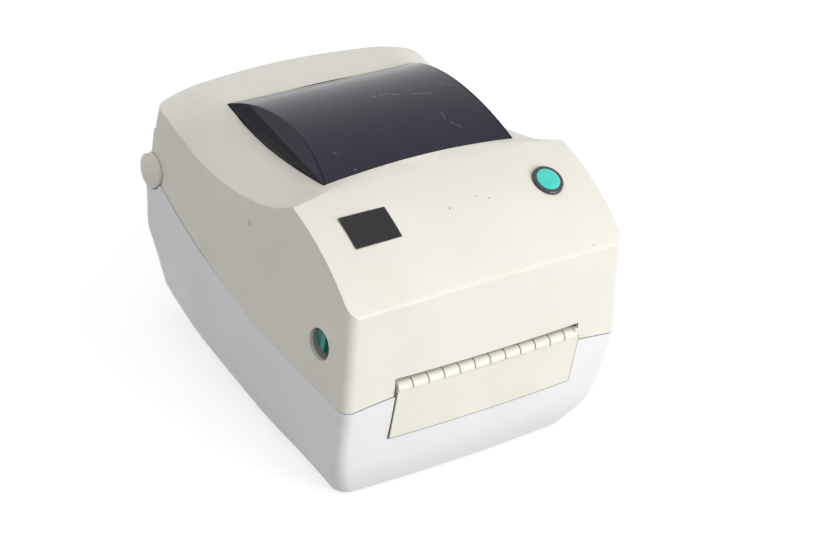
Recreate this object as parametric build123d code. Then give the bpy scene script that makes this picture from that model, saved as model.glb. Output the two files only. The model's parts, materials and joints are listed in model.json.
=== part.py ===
"""Desktop label printer with a hinged cover, as an assembly of separate pieces.

Millimetres. X runs to the right of someone who faces the printer, Y runs from
the front to the back, Z is up. The origin lies on the table under the middle
of the printer. Every piece is drawn where it sits with the cover shut.
"""
from build123d import *
import math
import os

# Overall body
HALF_WIDTH = 98.5            # middle of the printer to the side wall at the seam
FRONT_Y = -116.0             # front corners at the seam
REAR_Y = 107.0               # rear corners at the seam
FRONT_BOW = 3.0              # how far the front bulges out in the middle
REAR_BOW = 12.0              # how far the back bulges out in the middle
CORNER_R = 7.0               # upright corner rounding
WALL = 2.6                   # moulded wall of cover and base
SEAM_GAP = 0.4               # line between cover and base

# Base tub
FOOT_HEIGHT = 2.0            # base underside above the table
FLOOR = 3.0                  # thickness of the base floor
KEEL_FRONT_HALF = 83.5       # half width of the flat underside at the front
KEEL_REAR_HALF = 70.0        # half width of the flat underside at the back
KEEL_FRONT_Y = -105.5
KEEL_REAR_Y = 84.0
BILGE_Z = 24.0               # height where the tucked-under side starts
WAIST_Z = 60.0               # height where the side is nearly upright
TUB_HEIGHTS = [FOOT_HEIGHT, 8.0, 15.0, BILGE_Z, 34.0, 46.0, WAIST_Z, 92.0, 125.0]

# Seam between base and cover
SEAM_Z = 70.5                # seam along the front half of the sides
SEAM_START_Y = -60.0         # where the seam starts to sweep up
SEAM_ARC_R = 418.0           # radius of the sweep
SEAM_FRONT_Z = 77.5          # seam beside the front panel
CORNER_SEAM_RISE = 7.0       # seam at the rear corners above the hinge axis
SIDE_WALL_X = 92.7           # the cover's side walls pass outside this

# Hinge
HINGE_Y = 98.7
HINGE_Z = 102.2
HINGE_CAP_R = 10.8
HINGE_CAP_DOME = 2.4
HINGE_PIN_R = 3.5
HINGE_SWEEP_R = 26.0         # the rear seam is round about the hinge, so the cover clears the base

# Cover
FRONT_LEAN = 9.8             # degrees the cover front leans back
CREST_Y = -39.2              # top edge of the sloping front at the sides
CREST_Z = 160.8
SHOULDER_Y = -106.6          # bottom edge of the sloping front at the sides
SHOULDER_Z = 128.6
SLOPE_BULGE = 5.1            # how far the slope swells out of its chord
SLOPE_CROWN = 3.0            # how much higher the slope is in the middle
SHOULDER_R = 10.0

# Roof heights at stations along Y: at the side edge, beside the window, in the middle
ROOF_EDGE_X = 95.0
ROOF_MID_X = 67.0
ROOF_FLAT_X = 56.0           # inside this the roof is only a shallow crown
ROOF_STATIONS = [
    (-132.0, 176.0, 176.0, 176.0),
    (-70.0, 170.0, 171.0, 172.0),
    (CREST_Y, CREST_Z + 0.4, CREST_Z + 3.6, CREST_Z + 6.5),
    (-24.0, 151.6, 160.6, 165.6),
    (4.0, 141.6, 155.6, 162.4),
    (30.0, 136.9, 153.0, 159.6),
    (54.0, 135.9, 153.8, 158.0),
    (74.0, 138.4, 156.6, 157.4),
    (92.0, 141.4, 152.8, 154.2),
    (108.0, 142.4, 148.0, 150.0),
    (128.0, 140.0, 143.5, 145.0),
]
ROOF_PLACES = [-132.0, -70.0, CREST_Y, -32.0, -24.0, -15.0, -6.0, 4.0, 17.0, 30.0, 42.0, 54.0, 64.0, 74.0,
               83.0, 92.0, 100.0, 108.0, 128.0]

# Smoked window
WINDOW_HALF = 67.2
WINDOW_FRONT_Y = -27.0
WINDOW_FRONT_Z = 161.8
WINDOW_REAR_Y = 72.7
WINDOW_REAR_Z = 157.2
WINDOW_RISE = 13.2           # arc height over its chord
WINDOW_CHEEK_LEAN = 20.0     # degrees the upper end cheeks lean inwards
WINDOW_WALL = 2.2
WINDOW_GAP = 0.3
LEDGE = 5.0                  # lip under the window edge

# Front panel with the ribbed label lip
PANEL_HALF = 65.6
PANEL_BOTTOM_Z = 46.5
PANEL_TOP_Z = 79.5
PANEL_GAP = 0.4
PANEL_DEPTH = 5.0
PANEL_PROUD = 0.6            # panel face in front of the base
LIP_R = 4.2
LIP_RIBS = 12
LIP_GROOVE = 0.8
TEAR_PITCH = 4.0             # teeth of the tear bar
SLIT_TOP_Z = 86.6            # cover edge above the label slit

# Controls
BUTTON_X = 65.3
BUTTON_S = 27.0              # distance down the slope from its top edge
BUTTON_R = 7.4
BUTTON_RING_R = 9.7
BUTTON_TRAVEL = 1.2
BADGE_X = -60.6
BADGE_S = 27.0
BADGE_SIZE = (30.6, 20.8, 0.9)
LATCH_Y = -83.2
LATCH_Z = 98.6
LATCH_HOLE_R = 9.4
LATCH_TRAVEL = 3.0
ROCKER_TILT = 7.0            # the power rocker rests pressed in at its lower end

# Label bay and roll holders
BAY_Y = 28.0
BAY_Z = 90.0
BAY_R = 66.0
BAY_HALF = 66.0
DECK_Z = 66.0
DECK_WALL = 2.4
DECK_FRONT_Y = -84.0
HOLDER_X = 57.0
HOLDER_ARM = 4.0
HOLDER_TRAVEL = 36.0
HUB_R = 18.0
CORE_R = 12.4                # fits a 25.4 mm core
HUB_STUB = 12.0
GUIDE_X = 56.0
GUIDE_TRAVEL = 30.0
GUIDE_Y = -58.0
SLOT_HALF = 3.4              # half width of the slots that the holders run in
RACK_Z = 14.6                # underside of the holder racks
GUIDE_RACK_Z = 60.0          # underside of the guide racks
RACK = 3.0                   # height of the rack bars
RACK_PINION_TEETH = 10

# Drive train
MODULE = 0.8
PINION_TEETH = 15
IDLER_TEETH = 45
PLATEN_TEETH = 25
GEAR_X = -91.0               # outer face of the gears
GEAR_WIDTH = 5.0
PLATEN_Y = -98.0
PLATEN_Z = 76.0
PLATEN_R = 7.75
PLATEN_SHAFT_R = 3.0
PLATEN_HALF = 56.0
IDLER_DROP = 50.0            # degrees below level, platen to idler
PINION_DROP = 33.0           # degrees below level, idler to motor
SHAFT_FIT = 0.05
IDLER_POST_R = 2.0
PLATE = 1.5
PLATE_X = -84.5              # outer face of the left side plate
RIGHT_PLATE_X = 78.0         # inner face of the right side plate
MOTOR = 35.2
MOTOR_LENGTH = 34.0

# Print head and ribbon
HEAD_HALF = 54.0
HEAD_PIVOT_Y = -70.0
HEAD_PIVOT_Z = 97.0
HEAD_GAP = 0.3
RIBBON_FRAME_HALF = 66.0
SUPPLY_Y, SUPPLY_Z = -46.0, 130.0
TAKEUP_Y, TAKEUP_Z = -84.0, 116.0
RIBBON_HUB_R = 9.0
HUB_STUB_R = 5.0
HUB_FLANGE_R = 11.4
TAKEUP_TEETH = 40
RIBBON_PINION_TEETH = 12
RIBBON_PINION_DROP = 10.0    # degrees below level, take-up hub to ribbon motor
RIBBON_MOTOR_R = 9.2
HEAD_PIN_R = 2.0
HEAD_SPRING_TOP = 108.0
HEAD_SPRING_PLAY = 1.8       # gap under the springs for the head to lift

# Electronics
BOARD_Z = 9.0
BOARD_THICK = 1.6
BOARD_HALF = 62.0
BOARD_FRONT_Y = -40.0
REAR_RECESS_Y = 84.0
REAR_RECESS_HALF = 60.0
REAR_RECESS_TOP = 37.0
FOOT_R = 6.5
FOOT_SEAT = 2.0
FEET = [(-58.0, -84.0), (58.0, -84.0), (-50.0, 58.0), (50.0, 58.0)]

PLATEN_AT = (PLATEN_Y, PLATEN_Z)


def mesh_point(start, teeth_a, teeth_b, drop):
    """Centre (y, z) of a gear that meshes with one at start, at an angle below level."""
    reach = MODULE * (teeth_a + teeth_b) / 2 + 0.1
    return (start[0] + reach * math.cos(math.radians(drop)),
            start[1] - reach * math.sin(math.radians(drop)))


def mesh_turn(drop, teeth_a, turn_a, teeth_b):
    """Turn in degrees that sets a gear's gap against a tooth of the gear before it."""
    share = (-drop - turn_a) * teeth_a / 360
    return 180 - drop - (0.5 - share) * 360 / teeth_b


IDLER_AT = mesh_point(PLATEN_AT, PLATEN_TEETH, IDLER_TEETH, IDLER_DROP)
PINION_AT = mesh_point(IDLER_AT, IDLER_TEETH, PINION_TEETH, PINION_DROP)
RIBBON_PINION_AT = mesh_point((TAKEUP_Y, TAKEUP_Z), TAKEUP_TEETH, RIBBON_PINION_TEETH, RIBBON_PINION_DROP)
IDLER_TURN = mesh_turn(IDLER_DROP, PLATEN_TEETH, 0, IDLER_TEETH)
PINION_TURN = mesh_turn(PINION_DROP, IDLER_TEETH, IDLER_TURN, PINION_TEETH)
RIBBON_PINION_TURN = mesh_turn(RIBBON_PINION_DROP, TAKEUP_TEETH, 0, RIBBON_PINION_TEETH)

NODES = {}


def save(name, *solids):
    """Keep a node as one solid, or as a group of separate solids."""
    pieces = [s for shape in solids for s in shape.solids()]
    NODES[name] = pieces[0] if len(pieces) == 1 else Compound(children=pieces)


# Helpers

def box(x0, x1, y0, y1, z0, z1):
    """A block between two corners."""
    centre = ((x0 + x1) / 2, (y0 + y1) / 2, (z0 + z1) / 2)
    return Pos(*centre) * Box(abs(x1 - x0), abs(y1 - y0), abs(z1 - z0))


def rod(x0, x1, y, z, radius):
    """A cylinder along X."""
    middle = Pos((x0 + x1) / 2, y, z)
    return middle * Rot(0, 90, 0) * Cylinder(radius, abs(x1 - x0))


def post(x, y, z0, z1, radius):
    """An upright cylinder."""
    return Pos(x, y, (z0 + z1) / 2) * Cylinder(radius, z1 - z0)


def prism_x(face_yz, x0, x1):
    """Extrude a face drawn as (y, z) along X from x0 to x1."""
    plane = Plane(origin=(x0, 0, 0), x_dir=(0, 1, 0), z_dir=(1, 0, 0))
    return extrude(plane * face_yz, x1 - x0)


def prism_y(face_xz, y0, y1):
    """Extrude a face drawn as (x, z) along Y from y0 to y1."""
    plane = Plane(origin=(0, y0, 0), x_dir=(1, 0, 0), z_dir=(0, -1, 0))
    return extrude(plane * face_xz, -(y1 - y0))


def polygon(*points):
    """A face from straight edges."""
    return make_face(Polyline(*points, close=True))


def mirror_x(shape):
    """The same piece on the other side of the printer."""
    return mirror(shape, about=Plane.YZ)


def plan_face(z, half_front, half_rear, front, rear, bows, radii):
    """Plan outline at height z, with bowed front and back and round corners."""
    left_front, right_front = (-half_front, front), (half_front, front)
    left_rear, right_rear = (-half_rear, rear), (half_rear, rear)
    outline = Curve() + [
        ThreePointArc(left_front, (0, front - bows[0]), right_front),
        Line(right_front, right_rear),
        ThreePointArc(right_rear, (0, rear + bows[1]), left_rear),
        Line(left_rear, left_front),
    ]
    face = make_face(outline)
    face = fillet(face.vertices().group_by(Axis.Y)[0], radii[0])
    face = fillet(face.vertices().group_by(Axis.Y)[-1], radii[1])
    return Pos(0, 0, z) * face


# Outer forms

def between(rows, at):
    """The row at a place between the measured ones, on a smooth curve through them."""
    count = len(rows)
    k = max([i for i in range(count - 1) if rows[i][0] <= at], default=0)
    start, end = rows[k], rows[k + 1]
    before, after = rows[max(k - 1, 0)], rows[min(k + 2, count - 1)]
    span = end[0] - start[0]
    t = (at - start[0]) / span
    row = [at]
    for i in range(1, len(start)):
        slope_in = (end[i] - before[i]) / (end[0] - before[0])
        slope_out = (after[i] - start[i]) / (after[0] - start[0])
        value = start[i] * (1 + 2 * t) * (1 - t) ** 2 + end[i] * (3 - 2 * t) * t ** 2
        row.append(value + span * t * (1 - t) * (slope_in * (1 - t) - slope_out * t))
    return row


def base_hull(inset):
    """The tub form with its tucked-under sides, inset all round by a wall."""
    # Height, half width at front and back, front and back, their bows, front and back corner radii
    measured = [
        (FOOT_HEIGHT, KEEL_FRONT_HALF, KEEL_REAR_HALF, KEEL_FRONT_Y, KEEL_REAR_Y, 2.5, 5.0, 9.0, 14.0),
        (BILGE_Z, 94.3, 86.5, FRONT_Y + 2.2, REAR_Y - 10.5, 3.0, 8.0, 8.0, 10.0),
        (WAIST_Z, HALF_WIDTH - 0.4, HALF_WIDTH - 1.8, FRONT_Y, REAR_Y - 2.5, 3.0, 11.0, 7.0, 7.0),
        (92.0, HALF_WIDTH, HALF_WIDTH - 0.3, FRONT_Y, REAR_Y - 0.4, FRONT_BOW, REAR_BOW, CORNER_R, CORNER_R),
        (125.0, HALF_WIDTH, HALF_WIDTH, FRONT_Y, REAR_Y, FRONT_BOW, REAR_BOW, CORNER_R, CORNER_R),
    ]
    faces = []
    for height in TUB_HEIGHTS:
        z, half_front, half_rear, front, rear, bow, rear_bow, corner, rear_corner = between(measured, height)
        faces.append(plan_face(z, half_front - inset, half_rear - inset, front + inset, rear - inset,
                               (bow, rear_bow), (corner - inset, rear_corner - inset)))
    return loft(faces, ruled=True)


def seam_z(y):
    """Height of the seam along the sides."""
    if y <= SEAM_START_Y:
        return SEAM_Z
    return SEAM_Z + SEAM_ARC_R - math.sqrt(SEAM_ARC_R ** 2 - (y - SEAM_START_Y) ** 2)


def below_seam(lift):
    """Everything under the seam, raised by lift."""
    end_y = HINGE_Y - 8.7
    corner_z = HINGE_Z + CORNER_SEAM_RISE
    start = (SEAM_START_Y, SEAM_Z)
    middle_y = (SEAM_START_Y + end_y) / 2
    end = (end_y, seam_z(end_y))
    outline = Curve() + [
        Polyline((-140, -5), (-140, SEAM_Z), start),
        ThreePointArc(start, (middle_y, seam_z(middle_y)), end),
        Polyline(end, (HINGE_Y, corner_z), (140, corner_z), (140, -5), (-140, -5)),
    ]
    side = prism_x(make_face(outline), -110, 110)
    arch = Curve() + [
        Polyline((-HALF_WIDTH - 3, SEAM_Z - 5), (-HALF_WIDTH - 3, SEAM_Z)),
        Line((-HALF_WIDTH - 3, SEAM_Z), (-HALF_WIDTH + 2, SEAM_Z + 0.6)),
        ThreePointArc((-HALF_WIDTH + 2, SEAM_Z + 0.6), (0, SEAM_FRONT_Z + 2.2), (HALF_WIDTH - 2, SEAM_Z + 0.6)),
        Line((HALF_WIDTH - 2, SEAM_Z + 0.6), (HALF_WIDTH + 3, SEAM_Z)),
        Polyline((HALF_WIDTH + 3, SEAM_Z), (HALF_WIDTH + 3, SEAM_Z - 5), (-HALF_WIDTH - 3, SEAM_Z - 5)),
    ]
    front = prism_y(make_face(arch), -140, FRONT_Y + WALL + 6)
    inset = SIDE_WALL_X - 0.2 + lift / 2
    sweep = rod(-inset, inset, HINGE_Y, HINGE_Z, HINGE_SWEEP_R + lift) & box(-120, 120, HINGE_Y, 200, 0, 200)
    return Pos(0, 0, lift) * (side + front) + sweep


def lean_y(z):
    """Front face of the cover at the corners, at height z."""
    return FRONT_Y + (z - SEAM_Z) * math.tan(math.radians(FRONT_LEAN))


def cover_plan(inset):
    """The upright walls of the cover, drawn in towards the top."""
    low, high = 60.0, 182.0
    faces = [
        plan_face(low, HALF_WIDTH + 0.2 - inset, HALF_WIDTH + 0.2 - inset, lean_y(low) + inset,
                  REAR_Y + 0.3 - inset, (FRONT_BOW, REAR_BOW), (CORNER_R - inset, CORNER_R - inset)),
        plan_face(high, HALF_WIDTH - 2.2 - inset, HALF_WIDTH - 5.6 - inset, lean_y(high) + inset,
                  REAR_Y - 2.0 - inset, (FRONT_BOW, REAR_BOW - 2), (CORNER_R - inset, CORNER_R - inset)),
    ]
    return loft(faces, ruled=True)


def slope_mid():
    """The point halfway down the bulging slope."""
    dy, dz = SHOULDER_Y - CREST_Y, SHOULDER_Z - CREST_Z
    length = math.hypot(dy, dz)
    return ((CREST_Y + SHOULDER_Y) / 2 + dz / length * SLOPE_BULGE,
            (CREST_Z + SHOULDER_Z) / 2 - dy / length * SLOPE_BULGE)


def slope_arc():
    """Centre (y, z) and radius of the slope's arc."""
    half = math.hypot(SHOULDER_Y - CREST_Y, SHOULDER_Z - CREST_Z) / 2
    radius = (half ** 2 + SLOPE_BULGE ** 2) / (2 * SLOPE_BULGE)
    my, mz = slope_mid()
    dy, dz = (SHOULDER_Y - CREST_Y) / (2 * half), (SHOULDER_Z - CREST_Z) / (2 * half)
    return (my - dz * radius, mz + dy * radius), radius


def slope_place(x, s):
    """Place on the slope: s down from the crest, and the tilt of its surface."""
    (cy, cz), radius = slope_arc()
    start = math.atan2(CREST_Z - cz, CREST_Y - cy)
    angle = start + s / radius
    crown = SLOPE_CROWN * (1 - (x / HALF_WIDTH) ** 2)
    return (x, cy + radius * math.cos(angle), cz + radius * math.sin(angle) + crown, math.degrees(angle) - 90)


def slope_profile(raise_by, bow):
    """Side view of the sloping front, for one X."""
    (cy, cz), radius = slope_arc()
    tangent = math.atan2(CREST_Z - cz, CREST_Y - cy) - math.pi / 2
    far = (140.0, CREST_Z + (140 - CREST_Y) * math.tan(tangent) + raise_by)
    crest = (CREST_Y, CREST_Z + raise_by)
    shoulder = (SHOULDER_Y - bow, SHOULDER_Z + raise_by)
    mid = (slope_mid()[0], slope_mid()[1] + raise_by)
    foot = (lean_y(60) - bow - 0.3, 60.0)
    outline = Curve() + [
        Line(foot, shoulder),
        ThreePointArc(shoulder, mid, crest),
        Line(crest, far),
        Polyline(far, (140.0, 60.0), foot),
    ]
    face = make_face(outline)
    corner = face.vertices().sort_by(lambda v: math.hypot(v.X - shoulder[0], v.Y - shoulder[1]))[0]
    return fillet(corner, SHOULDER_R)


def slope_form():
    """Everything behind the front face and under the slope, crowned across X."""
    faces = []
    for x in (-105.0, -70.0, -35.0, 0.0, 35.0, 70.0, 105.0):
        share = 1 - (x / HALF_WIDTH) ** 2
        plane = Plane(origin=(x, 0, 0), x_dir=(0, 1, 0), z_dir=(1, 0, 0))
        faces.append(plane * slope_profile(SLOPE_CROWN * share, FRONT_BOW * share))
    return loft(faces, ruled=True)


def roof_form():
    """Everything under the saddle-shaped roof."""
    half = 110
    right = [ROOF_FLAT_X, ROOF_MID_X, ROOF_EDGE_X, half]
    spots = [-x for x in reversed(right)] + [0] + right
    crown_share = 1 - (ROOF_FLAT_X / ROOF_MID_X) ** 2
    faces = []
    for place in ROOF_PLACES:
        y, edge, beside, middle = between(ROOF_STATIONS, place)
        low = edge - (beside - edge) * 0.85
        flat = beside + (middle - beside) * crown_share
        heights = (low, edge, beside, flat, middle, flat, beside, edge, low)
        points = [Vector(x, z) for x, z in zip(spots, heights)]
        top = Edge.make_spline(points, parameters=[(x + half) / (2 * half) for x in spots])
        walls = Polyline((half, low), (half, 50), (-half, 50), (-half, low))
        plane = Plane(origin=(0, y, 0), x_dir=(1, 0, 0), z_dir=(0, -1, 0))
        faces.append(plane * make_face(Curve() + [top, walls]))
    return loft(faces, ruled=True)


SLOPE_FORM = slope_form()
ROOF_FORM = roof_form()


def cover_form(inset):
    """The closed form of the cover, inset by a wall."""
    walls = cover_plan(inset)
    return walls & (Pos(0, inset * 0.6, -inset) * SLOPE_FORM) & (Pos(0, 0, -inset) * ROOF_FORM)


# Cover and what is fixed to it

def window_arc(drop):
    """Side view of the window bow, lowered by drop all round."""
    y0, z0 = WINDOW_FRONT_Y + drop, WINDOW_FRONT_Z - drop
    y1, z1 = WINDOW_REAR_Y - drop, WINDOW_REAR_Z - drop
    top = ((y0 + y1) / 2 + 0.6, (z0 + z1) / 2 + WINDOW_RISE)
    outline = Curve() + [
        ThreePointArc((y0, z0), top, (y1, z1)),
        Polyline((y1, z1), (y1, 130), (y0, 130), (y0, z0)),
    ]
    return make_face(outline)


def window_block(drop):
    """The window's outer form, or its hollow when lowered by a wall."""
    half = WINDOW_HALF - drop
    block = prism_x(window_arc(drop), -half, half)
    chord = math.atan2(WINDOW_REAR_Z - WINDOW_FRONT_Z, WINDOW_REAR_Y - WINDOW_FRONT_Y)
    lean = math.radians(WINDOW_CHEEK_LEAN)
    for side in (-1, 1):
        normal = (side * math.cos(lean), -math.sin(lean) * math.sin(chord), math.sin(lean) * math.cos(chord))
        cut = Plane(origin=(side * half, WINDOW_FRONT_Y, WINDOW_FRONT_Z - drop), z_dir=normal)
        block = split(block, bisect_by=cut, keep=Keep.BOTTOM)
    return block


def make_window():
    """Smoked bow with end cheeks, cut to sit on the ledge of the cover."""
    shell = window_block(0) - window_block(WINDOW_WALL)
    return shell - Pos(0, 0, -WALL) * ROOF_FORM


def side_hole(radius, depth):
    """Round cut through both side walls at the finger latches."""
    right = rod(HALF_WIDTH - depth, HALF_WIDTH + 6, LATCH_Y, LATCH_Z, radius)
    return right + mirror_x(right)


def slope_tool(x, s, shape):
    """Put a shape drawn about the origin onto the slope, with +Z out of it."""
    px, py, pz, tilt = slope_place(x, s)
    return Pos(px, py, pz) * Rot(tilt, 0, 0) * shape


def make_cover():
    """The moulded cover with its window opening, slit, holes and inner ribs."""
    outer = cover_form(0)
    inner = cover_form(WALL)
    gap = WINDOW_GAP
    hole = box(-WINDOW_HALF - gap, WINDOW_HALF + gap, WINDOW_FRONT_Y - gap, WINDOW_REAR_Y + gap, 120, 190)
    shell = outer - inner
    ring = box(-WINDOW_HALF - LEDGE, WINDOW_HALF + LEDGE, WINDOW_FRONT_Y - LEDGE, WINDOW_REAR_Y + LEDGE,
               120, 190)
    sight = box(-WINDOW_HALF + LEDGE, WINDOW_HALF - LEDGE, WINDOW_FRONT_Y + LEDGE, WINDOW_REAR_Y - LEDGE,
                110, 190)
    ledge = (ring - sight) & inner
    ledge = ledge - Pos(0, 0, -2 * WALL) * ROOF_FORM
    shell = shell - (hole - inner)
    shell = shell + ledge
    slit_half = PANEL_HALF + PANEL_GAP
    shell -= box(-slit_half, slit_half, -140, PLATEN_Y, 50, SLIT_TOP_Z)
    solid_form = cover_form(0.8)
    for x, y, z in FRAME_BOSSES:
        shell += post(x, y, z, 175, 4.0) & solid_form
        shell -= post(x, y, z - 1, z + 8, 1.25)
    shell += button_posts() & solid_form
    shell -= side_hole(LATCH_HOLE_R, 12)
    for side in (-1, 1):
        shell += latch_housing(side)
        shell += cover_ear(side, solid_form)
        shell -= rod(side * (HALF_WIDTH - 14), side * (HALF_WIDTH + 4), HINGE_Y, HINGE_Z, HINGE_PIN_R + 0.06)
        shell -= rod(side * (HALF_WIDTH - WALL - 0.8), side * (HALF_WIDTH + 4), HINGE_Y, HINGE_Z,
                     HINGE_CAP_R + 0.4)
        shell -= rod(side * (SIDE_WALL_X - 0.2), side * (HALF_WIDTH - WALL - 0.6), HINGE_Y, HINGE_Z,
                     HINGE_CAP_R + 1.4)
    shell -= slope_tool(BUTTON_X, BUTTON_S, Cylinder(BUTTON_RING_R - 1.0, 30))
    shell -= slope_tool(BUTTON_X, BUTTON_S, Pos(0, 0, 2) * Cylinder(BUTTON_RING_R + 0.1, 6))
    shell -= slope_tool(BADGE_X, BADGE_S, Pos(0, 0, 0.1) * Box(BADGE_SIZE[0] + 0.3, BADGE_SIZE[1] + 0.3, 2.0))
    return shell - below_seam(SEAM_GAP)


def latch_housing(side):
    """Cup behind the finger hole that carries the latch."""
    inner_x = HALF_WIDTH - 13.0
    cup = rod(inner_x, HALF_WIDTH - WALL + 1.2, LATCH_Y, LATCH_Z, LATCH_HOLE_R + 4.0)
    cup -= rod(inner_x + 1.6, HALF_WIDTH, LATCH_Y, LATCH_Z, LATCH_HOLE_R + 2.4)
    slot = box(inner_x - 1, inner_x + 3, LATCH_Y - 5 - LATCH_TRAVEL, LATCH_Y + 5, LATCH_Z - 4, LATCH_Z + 4)
    cup -= slot
    return cup if side > 0 else mirror_x(cup)


def cover_ear(side, form):
    """Hinge arm inside the cover: forward from the pin, then up to the roof."""
    x0, x1 = HALF_WIDTH - 12.0, HALF_WIDTH - 8.0
    web = polygon((HINGE_Y, HINGE_Z - 5.5), (HINGE_Y - 37, HINGE_Z + 2), (HINGE_Y - 37, 160),
                  (HINGE_Y - 25, 160), (HINGE_Y - 25, HINGE_Z + 11), (HINGE_Y, HINGE_Z + 5.5))
    ear = prism_x(web, x0, x1) + rod(x0, x1, HINGE_Y, HINGE_Z, 7.0)
    ear = ear if side > 0 else mirror_x(ear)
    return ear & form


def make_button_parts():
    """Dark ring, sprung button and its small circuit board."""
    depth = 7.0
    ring = Cylinder(BUTTON_RING_R, 1.6) + Pos(0, 0, -depth / 2) * Cylinder(BUTTON_RING_R - 1.1, depth)
    ring -= Cylinder(BUTTON_R + 0.15, 40)
    rim = ring.edges().filter_by(GeomType.CIRCLE).group_by(Axis.Z)[-1]
    ring = chamfer(rim.sort_by(SortBy.RADIUS)[-1], 0.5)
    save("button_ring", slope_tool(BUTTON_X, BUTTON_S, Pos(0, 0, 0.9) * ring))
    cap_top, cap_foot, switch_top = 1.7, -4.9, -11.0
    stem_foot = switch_top + BUTTON_TRAVEL + 0.2
    cap = Pos(0, 0, (cap_top + cap_foot) / 2) * Cylinder(BUTTON_R, cap_top - cap_foot)
    crown = Pos(0, 0, cap_top + 0.4) * Cone(BUTTON_R, BUTTON_R - 2.6, 0.8)
    stem = Pos(0, 0, (cap_foot + stem_foot) / 2) * Cylinder(2.0, cap_foot - stem_foot)
    save("feed_button", slope_tool(BUTTON_X, BUTTON_S, cap + crown + stem))
    board = Pos(0, 0, switch_top - 1.8) * Box(24, 14, 1.6)
    switch = Pos(0, 0, switch_top - 0.5) * Box(6, 6, 1.0)
    save("button_board", slope_tool(BUTTON_X, BUTTON_S, board + switch))


def button_posts():
    """Posts that carry the button board under the slope."""
    posts = Part()
    for x in (-10.4, 10.4):
        for y in (-5.4, 5.4):
            posts += Pos(x, y, -6.0) * Cylinder(1.6, 12.0)
    return slope_tool(BUTTON_X, BUTTON_S, posts)


def make_badge():
    """Plain dark plate set into the slope."""
    plate = Pos(0, 0, -0.4) * Box(*BADGE_SIZE)
    edges = plate.edges().filter_by(Axis.Z)
    return slope_tool(BADGE_X, BADGE_S, fillet(edges, 0.8))


# Base and what is fixed to it

def make_base():
    """The moulded tub with bosses, recesses and openings."""
    hull = base_hull(0)
    hollow = base_hull(WALL) & box(-120, 120, -140, 140, FOOT_HEIGHT + FLOOR, 130)
    shell = hull - hollow
    recess_wall = box(-REAR_RECESS_HALF - WALL, REAR_RECESS_HALF + WALL, REAR_RECESS_Y - WALL, 140,
                      FOOT_HEIGHT + 1, REAR_RECESS_TOP + WALL)
    shell += recess_wall & hull
    shell -= box(-REAR_RECESS_HALF, REAR_RECESS_HALF, REAR_RECESS_Y, 140, FOOT_HEIGHT - 1, REAR_RECESS_TOP)
    panel_half = PANEL_HALF + PANEL_GAP
    shell -= box(-panel_half, panel_half, -140, FRONT_Y + PANEL_DEPTH - 0.2, PANEL_BOTTOM_Z - PANEL_GAP, 130)
    backing = box(-panel_half - 4, panel_half + 4, FRONT_Y - 0.2, FRONT_Y + PANEL_DEPTH + WALL,
                  PANEL_BOTTOM_Z - 4, PANEL_TOP_Z - 6)
    backing -= box(-panel_half, panel_half, -140, FRONT_Y + PANEL_DEPTH - 0.2, PANEL_BOTTOM_Z - PANEL_GAP, 130)
    shell += backing & hull
    for x, y in DECK_POSTS:
        shell += post(x, y, FOOT_HEIGHT + 1, DECK_UNDER, 4.0) & hull
        shell -= post(x, y, DECK_UNDER - 12, DECK_UNDER + 1, 1.3)
    for x, y in PLATE_POSTS:
        shell += post(x, y, FOOT_HEIGHT + 1, PLATE_FOOT_Z, 4.0) & hull
    for x, y in BOARD_POSTS:
        shell += post(x, y, FOOT_HEIGHT + 1, BOARD_Z, 3.0)
    for x, y in FEET:
        shell += post(x, y, FOOT_HEIGHT + 0.5, FOOT_HEIGHT + FLOOR + 1.5, FOOT_R + 2)
        shell -= post(x, y, FOOT_HEIGHT - 1, FOOT_HEIGHT + FOOT_SEAT, FOOT_R + 0.15)
    for side in (-1, 1):
        shell += base_ear(side) & hull
        shell -= rod(side * (HALF_WIDTH - 20), side * (HALF_WIDTH + 4), HINGE_Y, HINGE_Z, HINGE_PIN_R + 0.01)
        shell -= rod(side * (HALF_WIDTH - WALL - 0.4), side * (HALF_WIDTH + 4), HINGE_Y, HINGE_Z,
                     HINGE_CAP_R + 0.4)
    shell -= box(-58, 58, 100, 140, 92, 98)
    for cut in port_cuts():
        shell -= cut
    return shell & below_seam(0)


def base_ear(side):
    """Hinge lug inside the base, beside the cover's knuckle."""
    x0, x1 = HALF_WIDTH - 18.0, HALF_WIDTH - 12.4
    web = polygon((HINGE_Y - 9, 70), (HINGE_Y - 6.5, HINGE_Z), (HINGE_Y + 6.5, HINGE_Z), (HINGE_Y + 12, 70))
    ear = prism_x(web, x0, x1) + rod(x0, x1, HINGE_Y, HINGE_Z, 6.5)
    ear += box(HALF_WIDTH - 18.0, HALF_WIDTH, HINGE_Y - 8, HINGE_Y + 8, 70, 78)
    return ear if side > 0 else mirror_x(ear)


DECK_POSTS = [(-78.0, -4.0), (88.0, -50.0), (78.0, 44.0), (-78.0, 60.0)]
DECK_UNDER = DECK_Z - DECK_WALL
BOARD_POSTS = [(-56.0, -34.0), (56.0, -34.0), (-56.0, 76.0), (56.0, 76.0)]
PLATE_FOOT_Z = 14.0
PLATE_POSTS = [(-76.0, -78.0), (-76.0, -50.0), (72.0, -78.0), (72.0, -50.0)]
FRAME_BOSSES = [(-72.5, -36.0, 146.0), (72.5, -36.0, 146.0), (-72.5, -72.0, 136.0), (72.5, -72.0, 136.0)]

# Rear sockets: name, centre x, width, height above the board, depth
PORTS = {
    "switch_housing": (-48.0, 14.0, 20.0, 16.0),
    "power_inlet": (-27.0, 14.0, 12.0, 14.0),
    "usb_port": (-8.0, 12.0, 11.0, 16.0),
    "parallel_port": (20.0, 36.0, 12.0, 12.0),
    "serial_port": (49.0, 18.0, 11.0, 12.0),
}
PORT_GAP = 0.3
PORT_BASE_Z = BOARD_Z + BOARD_THICK


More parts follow.
